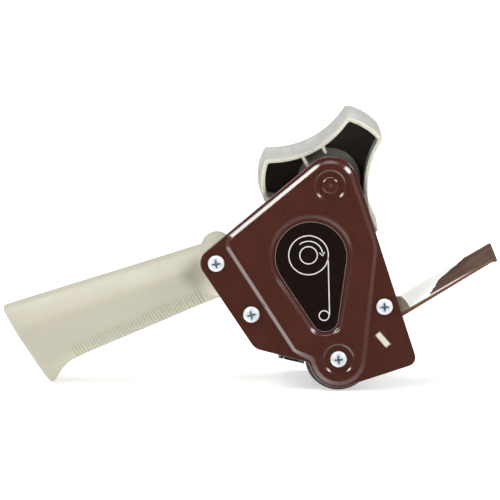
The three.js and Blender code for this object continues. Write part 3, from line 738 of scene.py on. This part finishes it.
def screw(name, at, seat, node, angle, length=16.0, size=HEAD_SIZE, shank_r=2.0, facing=1):
    top = placed(turned_over(HEADS[size], seat - facing * CONTACT, facing), at, angle)
    ridge = []
    y, pitch = 0.4, 1.4
    while y < length - 2:
        ridge += [(shank_r - 0.25, y), (shank_r, y + pitch / 2)]
        y += pitch
    profile = [(0, 0), *ridge, (shank_r - 0.25, length - 1.8), (0, length)]
    shank = lathe(at, [(r, seat + facing * y) for r, y in profile], 20)
    obj = piece(name, merged(top, shank), "zinc_steel", node, sharp=28)
    shade_cross(obj, at, seat, size, facing)


screw("upper_handle_screw", UPPER_SCREW, 0, "handle_upper_screw", 8)
screw("lower_handle_screw", LOWER_SCREW, 0, "handle_lower_screw", 12)
screw("moulding_screw", FRONT_SCREW, 0, "front_moulding_screw", 2)
screw("roller_screw", ROLLER, DISH - PANEL_RISE, "roller_axle_screw", 6, 14)


# --- Hub axle with its riveted head
SHOULDER, SPINDLE_R, SPINDLE_END = 20.0, 5.0, 58.5


def make_axle():
    floor = DISH - PANEL_RISE - CONTACT
    head = [(0, -1.62), (0.5, -1.66), (0.95, -1.95), (1.3, -1.98), (3.1, -2.03), (3.7, -1.95),
            (4.2, -1.7), (4.55, -1.3), (4.7, floor), (3.4, floor)]
    shank = [(3.4, PLATE + CONTACT), (8, PLATE + CONTACT), (8, SHOULDER), (SPINDLE_R, SHOULDER),
             (SPINDLE_R, 47)]
    thread = []
    y = 47.0
    while y < SPINDLE_END - 2.4:
        thread += [(SPINDLE_R - 0.28, y + 0.45), (SPINDLE_R, y + 0.9)]
        y += 0.9
    tip = [(SPINDLE_R - 0.3, y + 0.4), (SPINDLE_R - 0.4, SPINDLE_END - 0.8), (SPINDLE_R - 1.2, SPINDLE_END),
           (0, SPINDLE_END)]
    profile = rounded([*head, *shank], 0.25, 3) + thread + tip
    piece("hub_spindle", lathe(HUB, profile), "brown_paint", "hub_axle")


make_axle()


def washer(name, node, at, outer, inner, near, far, slot="zinc_steel", edge=0.25, body="frame"):
    profile = rounded([(inner, near), (outer, near), (outer, far), (inner, far)], edge, 3, closed=True)
    piece(name, lathe(at, profile, ring=True), slot, node, body)


washer("brake_disc", "brake_plate", HUB, 16.5, 5.1, 20.05, 23, "grey_paint", 0.7)
washer("brake_pad", "friction_pad", HUB, 14, 5.3, 23.05, 24.6, "friction_fibre", 0.2)
washer("seat_washer", "spring_seat_washer", HUB, 8.4, 5.1, 40.2, 41.4)
washer("cap_washer", "spring_cap_washer", HUB, 8.6, 5.15, 47.55, 48.9, body="spring_cap")
washer("axle_spacer", "roller_spacer", ROLLER, 6.5, 4.1, 1.55, 3.8)
washer("axle_washer", "roller_end_washer", ROLLER, 6.5, 4.1, 54.2, 55.25)


# --- Tension spring and knob
def make_spring():
    r, wire, turns, near, far = 6.7, 1.2, 2.5, 41.55, 47.4
    steps, around = 200, 14
    rings = []
    for k in range(steps + 1):
        t = k / steps
        a = 2 * math.pi * turns * t
        rise = float(ramp(t, 0.3))
        y = near + wire / 2 + (far - near - wire) * rise
        c, s = math.cos(a), math.sin(a)
        ring = []
        for i in range(around):
            b = 2 * math.pi * i / around
            out, up = wire / 2 * math.cos(b), wire / 2 * math.sin(b)
            ring.append(((r + out) * c, y + up, (r + out) * s))
        rings.append(ring)
    coil = piece("tension_coil", skin(rings), "bright_steel", "tension_spring", None, sharp=50)
    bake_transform(coil)


make_spring()


FLUTE_DEPTH, FLUTE_FROM, FLUTE_EASE = 1.15, 9.4, 2.2


def make_knob():
    outer_r, near, far, flutes = 12.0, 48.95, 56.5, 8
    count = 192

    def ring(r, y, depth):
        line = []
        for k in range(count):
            a = 2 * math.pi * k / count
            out = r - depth * FLUTE_DEPTH * max(0.0, math.cos(a * flutes)) ** 1.6
            line.append((out * math.cos(a), y, out * math.sin(a)))
        return line

    profile = rounded([(5.3, near), (outer_r, near), (outer_r, far), (9.2, far), (8.8, far - 0.9),
                       (6.9, far - 0.9), (6.6, far - 0.2), (5.3, far - 0.2)], 0.7, 5, closed=True)
    rings = [ring(r, y, max(0, min(1, (r - FLUTE_FROM) / FLUTE_EASE))) for r, y in profile]
    piece("tension_wheel", skin(rings, closed=True), "black_plastic", "tension_knob", "tension_knob")


make_knob()


# --- Hub
RIM_R, SWELL_R, LOBE_HALF, WAIST_R = 35.8, 37.65, math.radians(18), 20.0
LOBE_STEPS, WAIST_STEPS = 40, 36


def hub_outline(lobe_r, inset, rib=0.0):
    """Three lobes with hollow sides between them; rib raises four gripping ribs on each lobe."""
    reach = RIM_R * math.sin(math.pi / 3 - LOBE_HALF)
    dip = RIM_R * math.cos(math.pi / 3 - LOBE_HALF) - WAIST_R
    hollow = (reach ** 2 + dip ** 2) / (2 * dip)
    sweep = math.asin(reach / hollow) * (1 - inset / reach)
    edge = LOBE_HALF - inset / RIM_R
    points = []
    for k in range(3):
        middle = math.radians(HUB_TURN + 180 - 120 * k)
        for i in range(LOBE_STEPS + 1):
            t = 2 * i / LOBE_STEPS - 1
            wave = max(0.0, math.cos(9 * math.pi * t)) ** 2 if abs(t) < 0.84 else 0
            r = RIM_R + (lobe_r - RIM_R) * (1 - t ** 4) - inset + rib * wave
            points.append((r * math.cos(middle - t * edge), r * math.sin(middle - t * edge)))
        waist = middle - math.pi / 3
        for i in range(1, WAIST_STEPS):
            t = 2 * i / WAIST_STEPS - 1
            across = (hollow + inset) * math.sin(-t * sweep)
            out = WAIST_R + hollow - (hollow + inset) * math.cos(t * sweep)
            points.append((out * math.cos(waist) - across * math.sin(waist),
                           out * math.sin(waist) + across * math.cos(waist)))
    return points


def make_hub():
    length = HUB_FAR - HUB_NEAR
    levels = []

    def ring(depth, inset, lobe=None, rib=0.0):
        t = min(max((depth - HUB_NEAR) / length, 0), 1)
        if lobe is None:
            lobe = RIM_R + (SWELL_R - RIM_R) * math.sin(math.pi * t) ** 0.5
        levels.append([(x, depth, z) for x, z in hub_outline(lobe, inset, rib)])

    # near rim: the inner lip stands a little behind the outer bead
    for depth, inset in ((0.9, HUB_WALL), (0.55, HUB_WALL - 0.12), (0.5, HUB_WALL - 0.75),
                         (0.42, HUB_WALL - 0.85), (0.06, HUB_WALL - 0.95), (0, HUB_WALL - 1.1),
                         (0, 0.3), (0.08, 0.1), (0.3, 0)):
        ring(HUB_NEAR + depth, inset, RIM_R)
    for depth, rib in ((7.4, 0), (8.5, 0), (10, 0), (12, 0), (15, 0), (19, 0), (24, 0), (27.5, 0),
                       (28.2, 0.35), (34, 0.35), (41, 0.35), (45.5, 0.35), (49, 0.3), (51.2, 0.3)):
        ring(depth, 0, rib=rib)
    # far rim: a chamfer that leads the tape core on
    ring(52.4, 0.15, RIM_R + 0.4)
    for depth, inset in ((53.6, 0.6), (HUB_FAR - 0.15, 0.95), (HUB_FAR, 1.15), (HUB_FAR, HUB_WALL - 0.1),
                         (HUB_FAR - 0.15, HUB_WALL)):
        ring(depth, inset, RIM_R)
    shell = skin(levels, closed=True)
    ribs = []
    for side, length in ((-15, 5.2), (17.5, 6.6)):
        at = away(HUB, HUB_TURN + 120 + side, WAIST_R + 0.8)
        rib = block((-length, 0), (HUB_NEAR + 0.4, HUB_NEAR + 12), (-0.75, 0.75), 0.2)
        ribs.append(placed(rib, at, HUB_TURN + 120))
    piece("hub_wall", merged(shell, *ribs), "hub_plastic", "hub_shell", "hub", sharp=32)

    web = stack(lambda by: hub_outline(RIM_R, HUB_WALL + 0.15 - by), [(0, 24.7), (0, 27.6)])
    rib = block((6.6, WAIST_R - HUB_WALL - 0.4), (27.1, 36), (-1, 1), 0.25)
    ribs = [placed(rib, HUB, HUB_TURN + 60 + 120 * k) for k in range(3)]
    core = combined("UNION", combined("UNION", web, *ribs), rod(HUB, 7.6, 24.7, 40))
    core = combined("DIFFERENCE", core, rod(HUB, 5.25, 20, 45))
    piece("hub_web", core, "black_plastic", "hub_core", "hub", sharp=32)


make_hub()


# --- Roller
def make_roller():
    tyre = rounded([(12.55, 4), (17.7, 4), (17.7, 54), (12.55, 54)], 0.9, 5, closed=True)
    piece("roller_sleeve", lathe(ROLLER, tyre, 128, True), "roller_rubber", "roller_tyre", "roller")
    core = [(4.2, 4.2), (6.4, 4.2), (6.4, 5.6), (10.4, 5.6), (10.4, 4.2), (12.4, 4.2),
            (12.4, 53.8), (10.4, 53.8), (10.4, 51.2), (6.4, 51.2), (6.4, 53.8), (4.2, 53.8)]
    spoke = block((6.2, 10.6), (50.9, 53.2), (-0.8, 0.8), 0.2)
    spokes = [placed(spoke, ROLLER, 60 * k + 12) for k in range(6)]
    part = merged(lathe(ROLLER, rounded(core, 0.3, 3, closed=True), ring=True), *spokes)
    piece("roller_barrel", part, "black_plastic", "roller_core", "roller")
    axle = [(0, 1.55), (4, 1.55), (4, 55.3), (3.1, 55.3), (3.1, 56.3), (4, 56.3), (4, 57.6), (0, 57.6)]
    piece("roller_pin", lathe(ROLLER, rounded(axle, 0.35, 3), 72), "bright_steel", "roller_axle")


make_roller()


def make_clip():
    """A snap ring with three inner lugs, open below."""
    near, far, half_gap, count = 55.4, 56.2, 24, 90
    rings = []
    for k in range(count + 1):
        a = math.radians(-90 + half_gap + (360 - 2 * half_gap) * k / count)
        bite = 3.25 if abs(math.cos(1.5 * (a + math.pi / 2))) > 0.86 or k in (0, count) else 4.5
        c, s = math.cos(a), math.sin(a)
        rings.append([(ROLLER[0] + r * c, y, ROLLER[1] + r * s) for r, y in
                      ((bite, near), (6.4, near), (6.4, far), (bite, far))])
    piece("roller_snap_ring", skin(rings), "bright_steel", "roller_retaining_clip", sharp=30)


make_clip()

# --- Handle
HANDLE_MIDDLE = 25.5
HALF_GAP = 0.05
SECTION_ANGLE, TOP_POINT, TOP_ANGLE = -57, (-172.4, -69.2), 17.4
LOWER_EDGE = [
    (-147.2, -110.6, 14.4), (-145.2, -108, 15.3), (-143, -104.6, 15.8), (-140.3, -101.3, 15.9),
    (-137, -98.5, 15.7), (-130.5, -95.2, 15.5), (-95, -79.8, 15.5), (-66, -67.2, 16), (-47, -59.6, 17),
]
ROOT_BELT = [(*UPPER_SCREW, 8.6), (*LOWER_SCREW, 8.6)]
ROOT_NEAR, ROOT_FAR = PLATE + CONTACT, 2 * HANDLE_MIDDLE - PLATE - CONTACT
JOINING_SCREWS, JOINING_SEAT = {"rear": (-146, -84), "front": (-92, -62)}, 36.4
GROOVE_FIRST, GROOVE_STEP, GROOVES, GROOVE_DEPTH = -132.0, 3.16, 22, 0.45
# How far up the side the grooves reach, in half heights: the first groove, and what the last one gains.
GROOVE_REACH, GROOVE_GAIN = -0.44, 0.2
# Between two places the sections lean forward by these degrees, easing in and out over a length.
LEAN, LEAN_FROM, LEAN_TO, LEAN_EASE = 6, -147, -52, 14
BUTT_ROUND = 0.55
# The sides swell into the root within this distance. The swell fades towards a section's top and
# bottom, and goes with its half width.
COVE, COVE_EDGE, COVE_EASE, GRIP_HALF = 8.2, 0.97, 0.3, 15.5
# Half a section, from its top to its bottom: share of the half width, share of the half height.
SECTION = [(0, 1), (0.3, 1), (0.55, 0.93), (0.9, 0.52), (0.975, 0.36), (1, 0.14), (1, -0.42),
           (0.94, -0.7), (0.66, -0.92), (0.32, -1), (0, -1)]


def soft_curve(controls, steps):
    """A smooth curve that starts and ends on its controls and rounds the ones between."""
    points = [Vector(controls[0])]
    c = [Vector(p) for p in controls]
    for i in range(1, len(c) - 1):
        a = c[0] if i == 1 else (c[i - 1] + c[i]) / 2
        b = c[-1] if i == len(c) - 2 else (c[i] + c[i + 1]) / 2
        for k in range(1, steps + 1):
            t = k / steps
            points.append(a.lerp(c[i], t).lerp(c[i].lerp(b, t), t))
    return np.array(points)


def through(points, steps):
    """A smooth curve through points, as an array of samples."""
    p = [np.array(q, float) for q in points]
    p = [2 * p[0] - p[1], *p, 2 * p[-1] - p[-2]]
    out = []
    for a, b, c, d in zip(p, p[1:], p[2:], p[3:]):
        knots = np.cumsum([0] + [np.linalg.norm(v[:2]) ** 0.5 for v in (b - a, c - b, d - c)])
        for t in np.linspace(knots[1], knots[2], steps, endpoint=False):
            def mix(u, v, i, j):
                return u + (v - u) * (t - knots[i]) / (knots[j] - knots[i])
            one, two, three = mix(a, b, 0, 1), mix(b, c, 1, 2), mix(c, d, 2, 3)
            out.append(mix(mix(one, two, 0, 2), mix(two, three, 1, 3), 1, 2))
    out.append(p[-2])
    return np.array(out)


def smooth(t):
    t = np.clip(t, 0, 1)
    return t * t * (3 - 2 * t)


# Across one groove: distance from its middle, share of the full depth. Two fine creases bound it.
GROOVE_HALF = [(0.5, 0.12), (0.64, 0.4), (0.79, 1), (0.94, 0.3), (1.1, 0)]
GROOVE_SHAPE = [(-x, deep) for x, deep in GROOVE_HALF[::-1]] + GROOVE_HALF


def grip_stations():
    """Where the handle's sections stand along its lower edge, with how deep in a groove each is."""
    start = LOWER_EDGE[0][0]
    stations = [(start + 0.65 * e, 0.0, 0) for e in (0, 0.03, 0.12, 0.28, 0.5)]
    stations += [(x, 0.0, 0) for x in np.arange(start + 0.75, GROOVE_FIRST - 1, 0.55)]
    for k in range(GROOVES):
        x = GROOVE_FIRST + GROOVE_STEP * k
        stations += [(x + dx, deep, k) for dx, deep in GROOVE_SHAPE]
        stations.append((x + GROOVE_STEP / 2, 0.0, k))
    end = GROOVE_FIRST + GROOVE_STEP * GROOVES
    stations += [(x, 0.0, GROOVES) for x in np.arange(end, LOWER_EDGE[-1][0] + 0.1, 1.2)]
    return stations


def grip(side):
    """One half of the grip, closed at the parting plane: side is -1 for near, 1 for far."""
    edge = through(LOWER_EDGE, 24)
    half_section = soft_curve(SECTION, 9)
    top_run = Vector(away((0, 0), TOP_ANGLE, 1))
    root = spaced(belt(ROOT_BELT), 2)
    rings = []
    for x, deep, k in grip_stations():
        low = Vector((x, np.interp(x, edge[:, 0], edge[:, 1])))
        half = float(np.interp(x, edge[:, 0], edge[:, 2]))
        lean = LEAN * float(smooth((x - LEAN_FROM) / LEAN_EASE) * smooth((LEAN_TO - x) / LEAN_EASE))
        along = Vector(away((0, 0), SECTION_ANGLE - lean, 1))
        cross = along.x * top_run.y - along.y * top_run.x
        t = ((low.x - TOP_POINT[0]) * top_run.y - (low.y - TOP_POINT[1]) * top_run.x) / cross
        top = low - along * t
        middle, tall = (low + top) / 2, (top - low).length / 2
        e = min(BUTT_ROUND, (x - LOWER_EDGE[0][0]) / 0.65)
        inset = BUTT_ROUND - math.sqrt(BUTT_ROUND ** 2 - (BUTT_ROUND - e) ** 2)
        across = half_section[:, 0] * (half - inset)
        up = half_section[:, 1] * (tall - inset)
        tangent = np.gradient(np.stack([across, up], 1), axis=0)
        inward = np.stack([tangent[:, 1], -tangent[:, 0]], 1)
        inward /= np.linalg.norm(inward, axis=1)[:, None]
        reach = GROOVE_REACH + GROOVE_GAIN * k / GROOVES
        depth = GROOVE_DEPTH * deep * smooth((reach - half_section[:, 1]) / 0.16)
        across += inward[:, 0] * depth
        up += inward[:, 1] * depth
        across = np.maximum(across, 0.3)
        across = np.concatenate([[HALF_GAP], across, [HALF_GAP]])
        up = np.concatenate([[up[0] - 0.3], up, [up[-1] + 0.3]])
        places = [(middle.x - along.x * v, middle.y - along.y * v) for v in up]
        d = np.clip(-signed(places, root), 0, COVE)
        swell = COVE - np.sqrt(COVE ** 2 - (COVE - d) ** 2)
        share = smooth((COVE_EDGE - np.abs(np.concatenate([[1], half_section[:, 1], [1]]))) / COVE_EASE)
        across = across + swell * share * (half / GRIP_HALF)
        across = np.minimum(across, HANDLE_MIDDLE - ROOT_NEAR - 0.02)
        rings.append([(px, HANDLE_MIDDLE + side * w, pz) for (px, pz), w in zip(places, across)])
    return skin(rings)


def rounded_slab(outline, near, far, near_round, far_round):
    """An outline carried from near to far with rounded edges; outline is a function of growth."""
    turns = [math.pi / 2 * k / 4 for k in range(5)]
    levels = [(-near_round * (1 - math.sin(a)), near + near_round * (1 - math.cos(a))) for a in turns]
    levels += [(-far_round * (1 - math.sin(a)), far - far_round * (1 - math.cos(a))) for a in turns[::-1]]
    return stack(outline, levels)


def make_handle():
    def outline(by):
        return spaced(belt(grown(ROOT_BELT, by), 20), 3)

    near_root = rounded_slab(outline, ROOT_NEAR, HANDLE_MIDDLE - HALF_GAP, 0.7, 0.3)
    far_root = rounded_slab(outline, HANDLE_MIDDLE + HALF_GAP, ROOT_FAR, 0.3, 1.2)
    near = combined("UNION", grip(-1), near_root)
    piece("handle_near_half", near, "cream_plastic", "handle_near_shell", paint="handle_plastic_painted_shade", sharp=38)
    wells = [(at, 3.9, JOINING_SEAT, 46) for at in JOINING_SCREWS.values()]
    wells += [(at, 3.6, 47.6, 50) for at in (UPPER_SCREW, LOWER_SCREW)]
    far = combined("UNION", grip(1), far_root)
    far = combined("DIFFERENCE", far, *(rod(*well, 64) for well in wells))
    piece("handle_far_half", far, "cream_plastic", "handle_far_shell", paint="handle_plastic_painted_shade", sharp=38)
    for where, at in JOINING_SCREWS.items():
        screw(f"joining_screw_{where}", at, JOINING_SEAT, f"handle_joining_screw_{where}", 25, 9,
              SMALL_HEAD_SIZE, 1.4, -1)


make_handle()


# --- Front moulding, front plate and blade
MOULDING_BELT = [(30.8, -62.8, 3.4), (24.6, -62.6, 5), (24.5, -76, 5), (33.2, -71, 3.6)]
CHEEK, CHEEK_R, CHEEK_TOP, CHEEK_LEFT, CHEEK_NEAR, CHEEK_FAR = (28.8, -71.5), 14.7, -59.9, 24, 2.4, 5
FRONT_ROOT, FRONT_TIP, LIP_R, LIP_FILLET, LIP_WORN = 2.3, 1.1, 1.0, 0.8, 0.7
RIVETS, RIVET_ALONG = {"near": 13, "far": 39}, -4.6
BLADE_SCREWS, BLADE_SCREW_ALONG = {"near": 14, "far": 44}, 2.8
FRAME_DEPTH, FRAME_FAR, MOULDING_WALL, FINGER_HALF = 4, 54, 3, 2.2
LOOSE = 0.3  # the play round parts that slide into the moulding


def bar(place, x, z, y, edge=0.0):
    """A block at a (point, angle) place."""
    return placed(block(x, y, z, edge) if edge else block(x, y, z, 0.01, 1), *place)


def across_plate(part, place, along, depth):
    """Stands a part turned about y on a slanted plate: its y becomes the height above the plate."""
    return placed(([(along + a, depth + b, h) for a, h, b in part[0]], part[1]), *place)


def make_moulding():
    near, far, level = FRAME_DEPTH - 2, FRAME_FAR, ((0, 0), 0)

    def spaces(inset):
        """What the front plate and the lug's finger need cut away, larger all round by the inset."""
        return [
            bar(FRONT_PLATE, (-FRONT_HIDDEN - LOOSE - inset, 40), (-40, FRONT_ROOT + LOOSE + inset),
                (near - 2, far + 2)),
            bar(LUG, (-7 - inset, 20), (FINGER_HALF - inset, 15), (near - 2, far + 2)),
        ]

    body = rounded_slab(lambda by: belt(grown(MOULDING_BELT, by), 16), near, far, 0.5, 0.5)
    body = combined("DIFFERENCE", body, *spaces(0))
    hollow = stack(lambda by: belt(grown(MOULDING_BELT, by - MOULDING_WALL), 12),
                   [(0, near + 4), (0, far + 1)])
    hollow = combined("DIFFERENCE", hollow, *spaces(MOULDING_WALL))
    cheek = rod(CHEEK, CHEEK_R, CHEEK_NEAR, CHEEK_FAR, 128, 0.4)
    corner = bar(level, (-60, CHEEK_LEFT), (-120, -30), (0, 20))
    lid = bar(level, (-60, 80), (CHEEK_TOP, -20), (0, 20))
    cheek = combined("DIFFERENCE", cheek, corner, lid, *spaces(0))
    finger = bar(LUG, (-10, 5.6), (-FINGER_HALF, FINGER_HALF), (near, far), 0.4)
    body = combined("UNION", body, cheek, finger)
    body = combined("DIFFERENCE", body, hollow)
    half, thick = LUG_LENGTH / 2, LUG_THICK / 2
    tongue = bar(LUG, (-half, half), (-thick, thick), (-0.2, FRAME_DEPTH), 0.25)
    body = combined("UNION", body, tongue, rod(FRONT_SCREW, 4.6, FRAME_DEPTH, 22, 64, 0.3))
    body = piece("front_moulding_body", body, "cream_plastic", "front_moulding", sharp=30)
    # the cheek's front faces take the paint with painted shade and painted light
    second_paint(body, "cheek", lambda spot, normal: spot.x > 30 and spot.z > -74
                 and spot.y < CHEEK_FAR + 0.1 and normal.y < -0.5)


make_moulding()


def make_front_plate():
    crook = FRONT_LENGTH - 2.2
    side = [(FRONT_LENGTH, FRONT_ROOT - LIP_R, LIP_R),
            (-FRONT_HIDDEN + FRONT_ROOT / 2, FRONT_ROOT / 2, FRONT_ROOT / 2),
            (crook, crook * ((FRONT_ROOT - FRONT_TIP) / FRONT_LENGTH) - LIP_FILLET, -LIP_FILLET)]
    edge = [(-0.25, 0), (-0.12, 0.04), (-0.04, 0.12), (0, 0.28)]
    depths = np.linspace(FRONT_NEAR + 0.28, FRONT_FAR - 0.28, 12)[1:-1]
    levels = [(by, FRONT_NEAR + y) for by, y in edge] + [(0, y) for y in depths]
    levels += [(by, FRONT_FAR - y) for by, y in edge[::-1]]
    body = stack(lambda by: belt(grown(side, by)), levels)
    sheet = piece("front_plate_sheet", placed(body, *FRONT_PLATE), "front_plate_steel", "front_plate",
                  sharp=40)
    slant = math.radians(FRONT_PLATE[1])
    top = Vector((-math.sin(slant), 0, math.cos(slant)))
    along = Vector((top.z, 0, -top.x))
    tip = Vector((FRONT_PLATE[0][0], 0, FRONT_PLATE[0][1])).dot(along) + FRONT_LENGTH - LIP_WORN
    # the top face and the lip take the paint with the painted reflection
    second_paint(sheet, "front_plate_top_painted_reflection",
                 lambda spot, normal: normal.dot(top) > 0.995 or spot.dot(along) > tip)
    profile = [(0, 1.15), (1.2, 1.08), (2.2, 0.8), (2.85, 0.3), (2.95, 0.1), (2.95, 0.02), (1.4, 0.02),
               (1.4, -6.5), (0, -6.5)]
    head = lathe((0, 0), [(r, -y) for r, y in profile], 64)
    for name, depth in RIVETS.items():
        rivet = across_plate(head, FRONT_PLATE, RIVET_ALONG, depth)
        piece(f"rivet_{name}", rivet, "bright_steel", f"front_plate_rivet_{name}")


def make_blade():
    near, far, teeth, low, thick = 4.5, 53.5, 24, FINGER_HALF + LOOSE, 0.9
    pitch = (far - near) / teeth
    rings = []
    for height, top, gum, tip in ((0, -3.1, 10.5, 12.5), (0.08, -3.2, 10.6, 12.6), (0.2, -3.2, 10.4, 12.1),
                                  (0.82, -3.2, 8.6, 10.0), (thick, -3.12, 8.5, 9.8)):
        line = [(top, near)]
        for k in range(teeth):
            line += [(gum, near + pitch * k), (gum + (tip - gum) * 0.94, near + pitch * (k + 0.47)),
                     (tip, near + pitch * (k + 0.5)), (gum + (tip - gum) * 0.94, near + pitch * (k + 0.53))]
        line += [(gum, far), (top, far)]
        rings.append([(x, y, low + height) for x, y in line])
    hole = rod((0, 0), 1.5, low - 1, low + 2, 32)
    holes = [([(x + BLADE_SCREW_ALONG, depth + z, y) for x, y, z in hole[0]], hole[1])
             for depth in BLADE_SCREWS.values()]
    body = combined("DIFFERENCE", skin(rings), *holes)
    piece("saw_blade", placed(body, *LUG), "blade_steel", "blade", sharp=12)
    face = low + thick + CONTACT
    head = turned_over(pan_head(2.4, 1.35, 48), face, -1)
    screw_part = merged(head, rod((0, 0), 1.3, face - 4, face + 0.3, 24))
    for name, depth in BLADE_SCREWS.items():
        part = across_plate(screw_part, LUG, BLADE_SCREW_ALONG, depth)
        piece(f"blade_screw_head_{name}", part, "zinc_steel", f"blade_screw_{name}", sharp=28)


def make_stripper():
    near, far, at, angle, length = PLATE + CONTACT, FRAME_FAR, (-27, -92.8), -13, 14
    leaf = block((0, length), (near, far), (0, 0.7), 0.12)
    tab = block((1, length - 3), (near, near + 0.85), (0.3, 9), 0.2)
    notches = [block((2.6, 3.1), (depth - 6, depth), (-1, 2), 0.05) for depth in (near + 4, far + 4)]
    body = combined("DIFFERENCE", combined("UNION", leaf, tab), *notches)
    piece("stripper_spring", placed(body, at, angle), "blade_steel", "stripper_leaf")


make_front_plate()
make_blade()
make_stripper()

# --- Camera, floor and light
ELEVATION, DISTANCE, LENS = math.radians(10.6), 1.690, 232
target = ORIGIN + Vector((-41.9, 0, -34.5)) * MM
camera_data = bpy.data.cameras.new("camera")
camera_data.sensor_width = 36
camera_data.lens = LENS
camera_data.clip_end = 50
camera = added("camera", camera_data)
camera.location = target + Vector((0, -math.cos(ELEVATION), math.sin(ELEVATION))) * DISTANCE
camera.rotation_euler = (target - camera.location).to_track_quat("-Z", "Y").to_euler()
bpy.context.scene.camera = camera

FLOOR = 6.0
floor_mesh = bpy.data.meshes.new("floor")
floor_mesh.from_pydata([(x * FLOOR, y * FLOOR, 0) for x, y in ((-1, -1), (1, -1), (1, 1), (-1, 1))],
                       [], [(0, 1, 2, 3)])
floor_mesh.materials.append(Paint("pale floor", (0.92, 0.92, 0.92), 0.9, specular=0.1,
                                  Emission_Color=(1, 1, 1, 1), Emission_Strength=0.44).material)
floor = added("floor", floor_mesh)
floor.visible_glossy = False


def soft_box(name, direction, size, watts):
    data = bpy.data.lights.new(name, "AREA")
    data.shape = "RECTANGLE"
    data.size, data.size_y = size
    data.energy = watts
    light = added(name, data)
    aim = ORIGIN + Vector((-20, 20, -45)) * MM
    light.location = aim + Vector(direction).normalized() * LIGHT_DISTANCE
    light.rotation_euler = (aim - light.location).to_track_quat("-Z", "Y").to_euler()


LIGHT_DISTANCE = 1.6
soft_box("high light left", (-0.60, -0.29, 0.75), (0.5, 0.6), 8.5)
soft_box("front light left", (-0.60, -0.68, 0.40), (0.42, 0.42), 4.2)
soft_box("high light right", (0.80, -0.27, 0.53), (0.5, 0.5), 7.5)
soft_box("front light right", (0.60, -0.68, 0.40), (0.42, 0.42), 4.2)


def make_world():
    """A white studio: dim on the camera's side, bright overhead, and bright below on the left, where
    only reflections see it, because they pass through the floor."""
    world = bpy.data.worlds.new("studio")
    bpy.context.scene.world = world
    world.use_nodes = True
    sky = Nodes(world.node_tree, "Generated")

    def shape(axis, *spread):
        return sky.between(sky.axis(axis), *spread)

    front = shape("Y", -0.88, 0.1, 0.04, 1.25)
    high = shape("Z", 0.0, 0.35, 0.42, 0.3)
    zenith = shape("Z", 0.80, 0.95, 0.0, 2.7)
    below = shape("Z", -0.28, -0.52, 0.0, 1.0)
    left = shape("X", 0.1, -0.6, 0.45, 2.1)
    light = sky.math("ADD", sky.math("ADD", high, zenith), sky.math("MULTIPLY", below, left))
    # seen directly, the backdrop is plain white from every side
    seen = sky.node("ShaderNodeLightPath").outputs["Is Camera Ray"]
    backdrop = sky.math("MAXIMUM", sky.math("MULTIPLY", front, light), seen)
    background = sky.tree.nodes["Background"]
    sky.link(backdrop, background.inputs["Strength"])
    background.inputs["Color"].default_value = (1, 1, 1, 1)


make_world()
bpy.context.scene.view_settings.view_transform = "Standard"
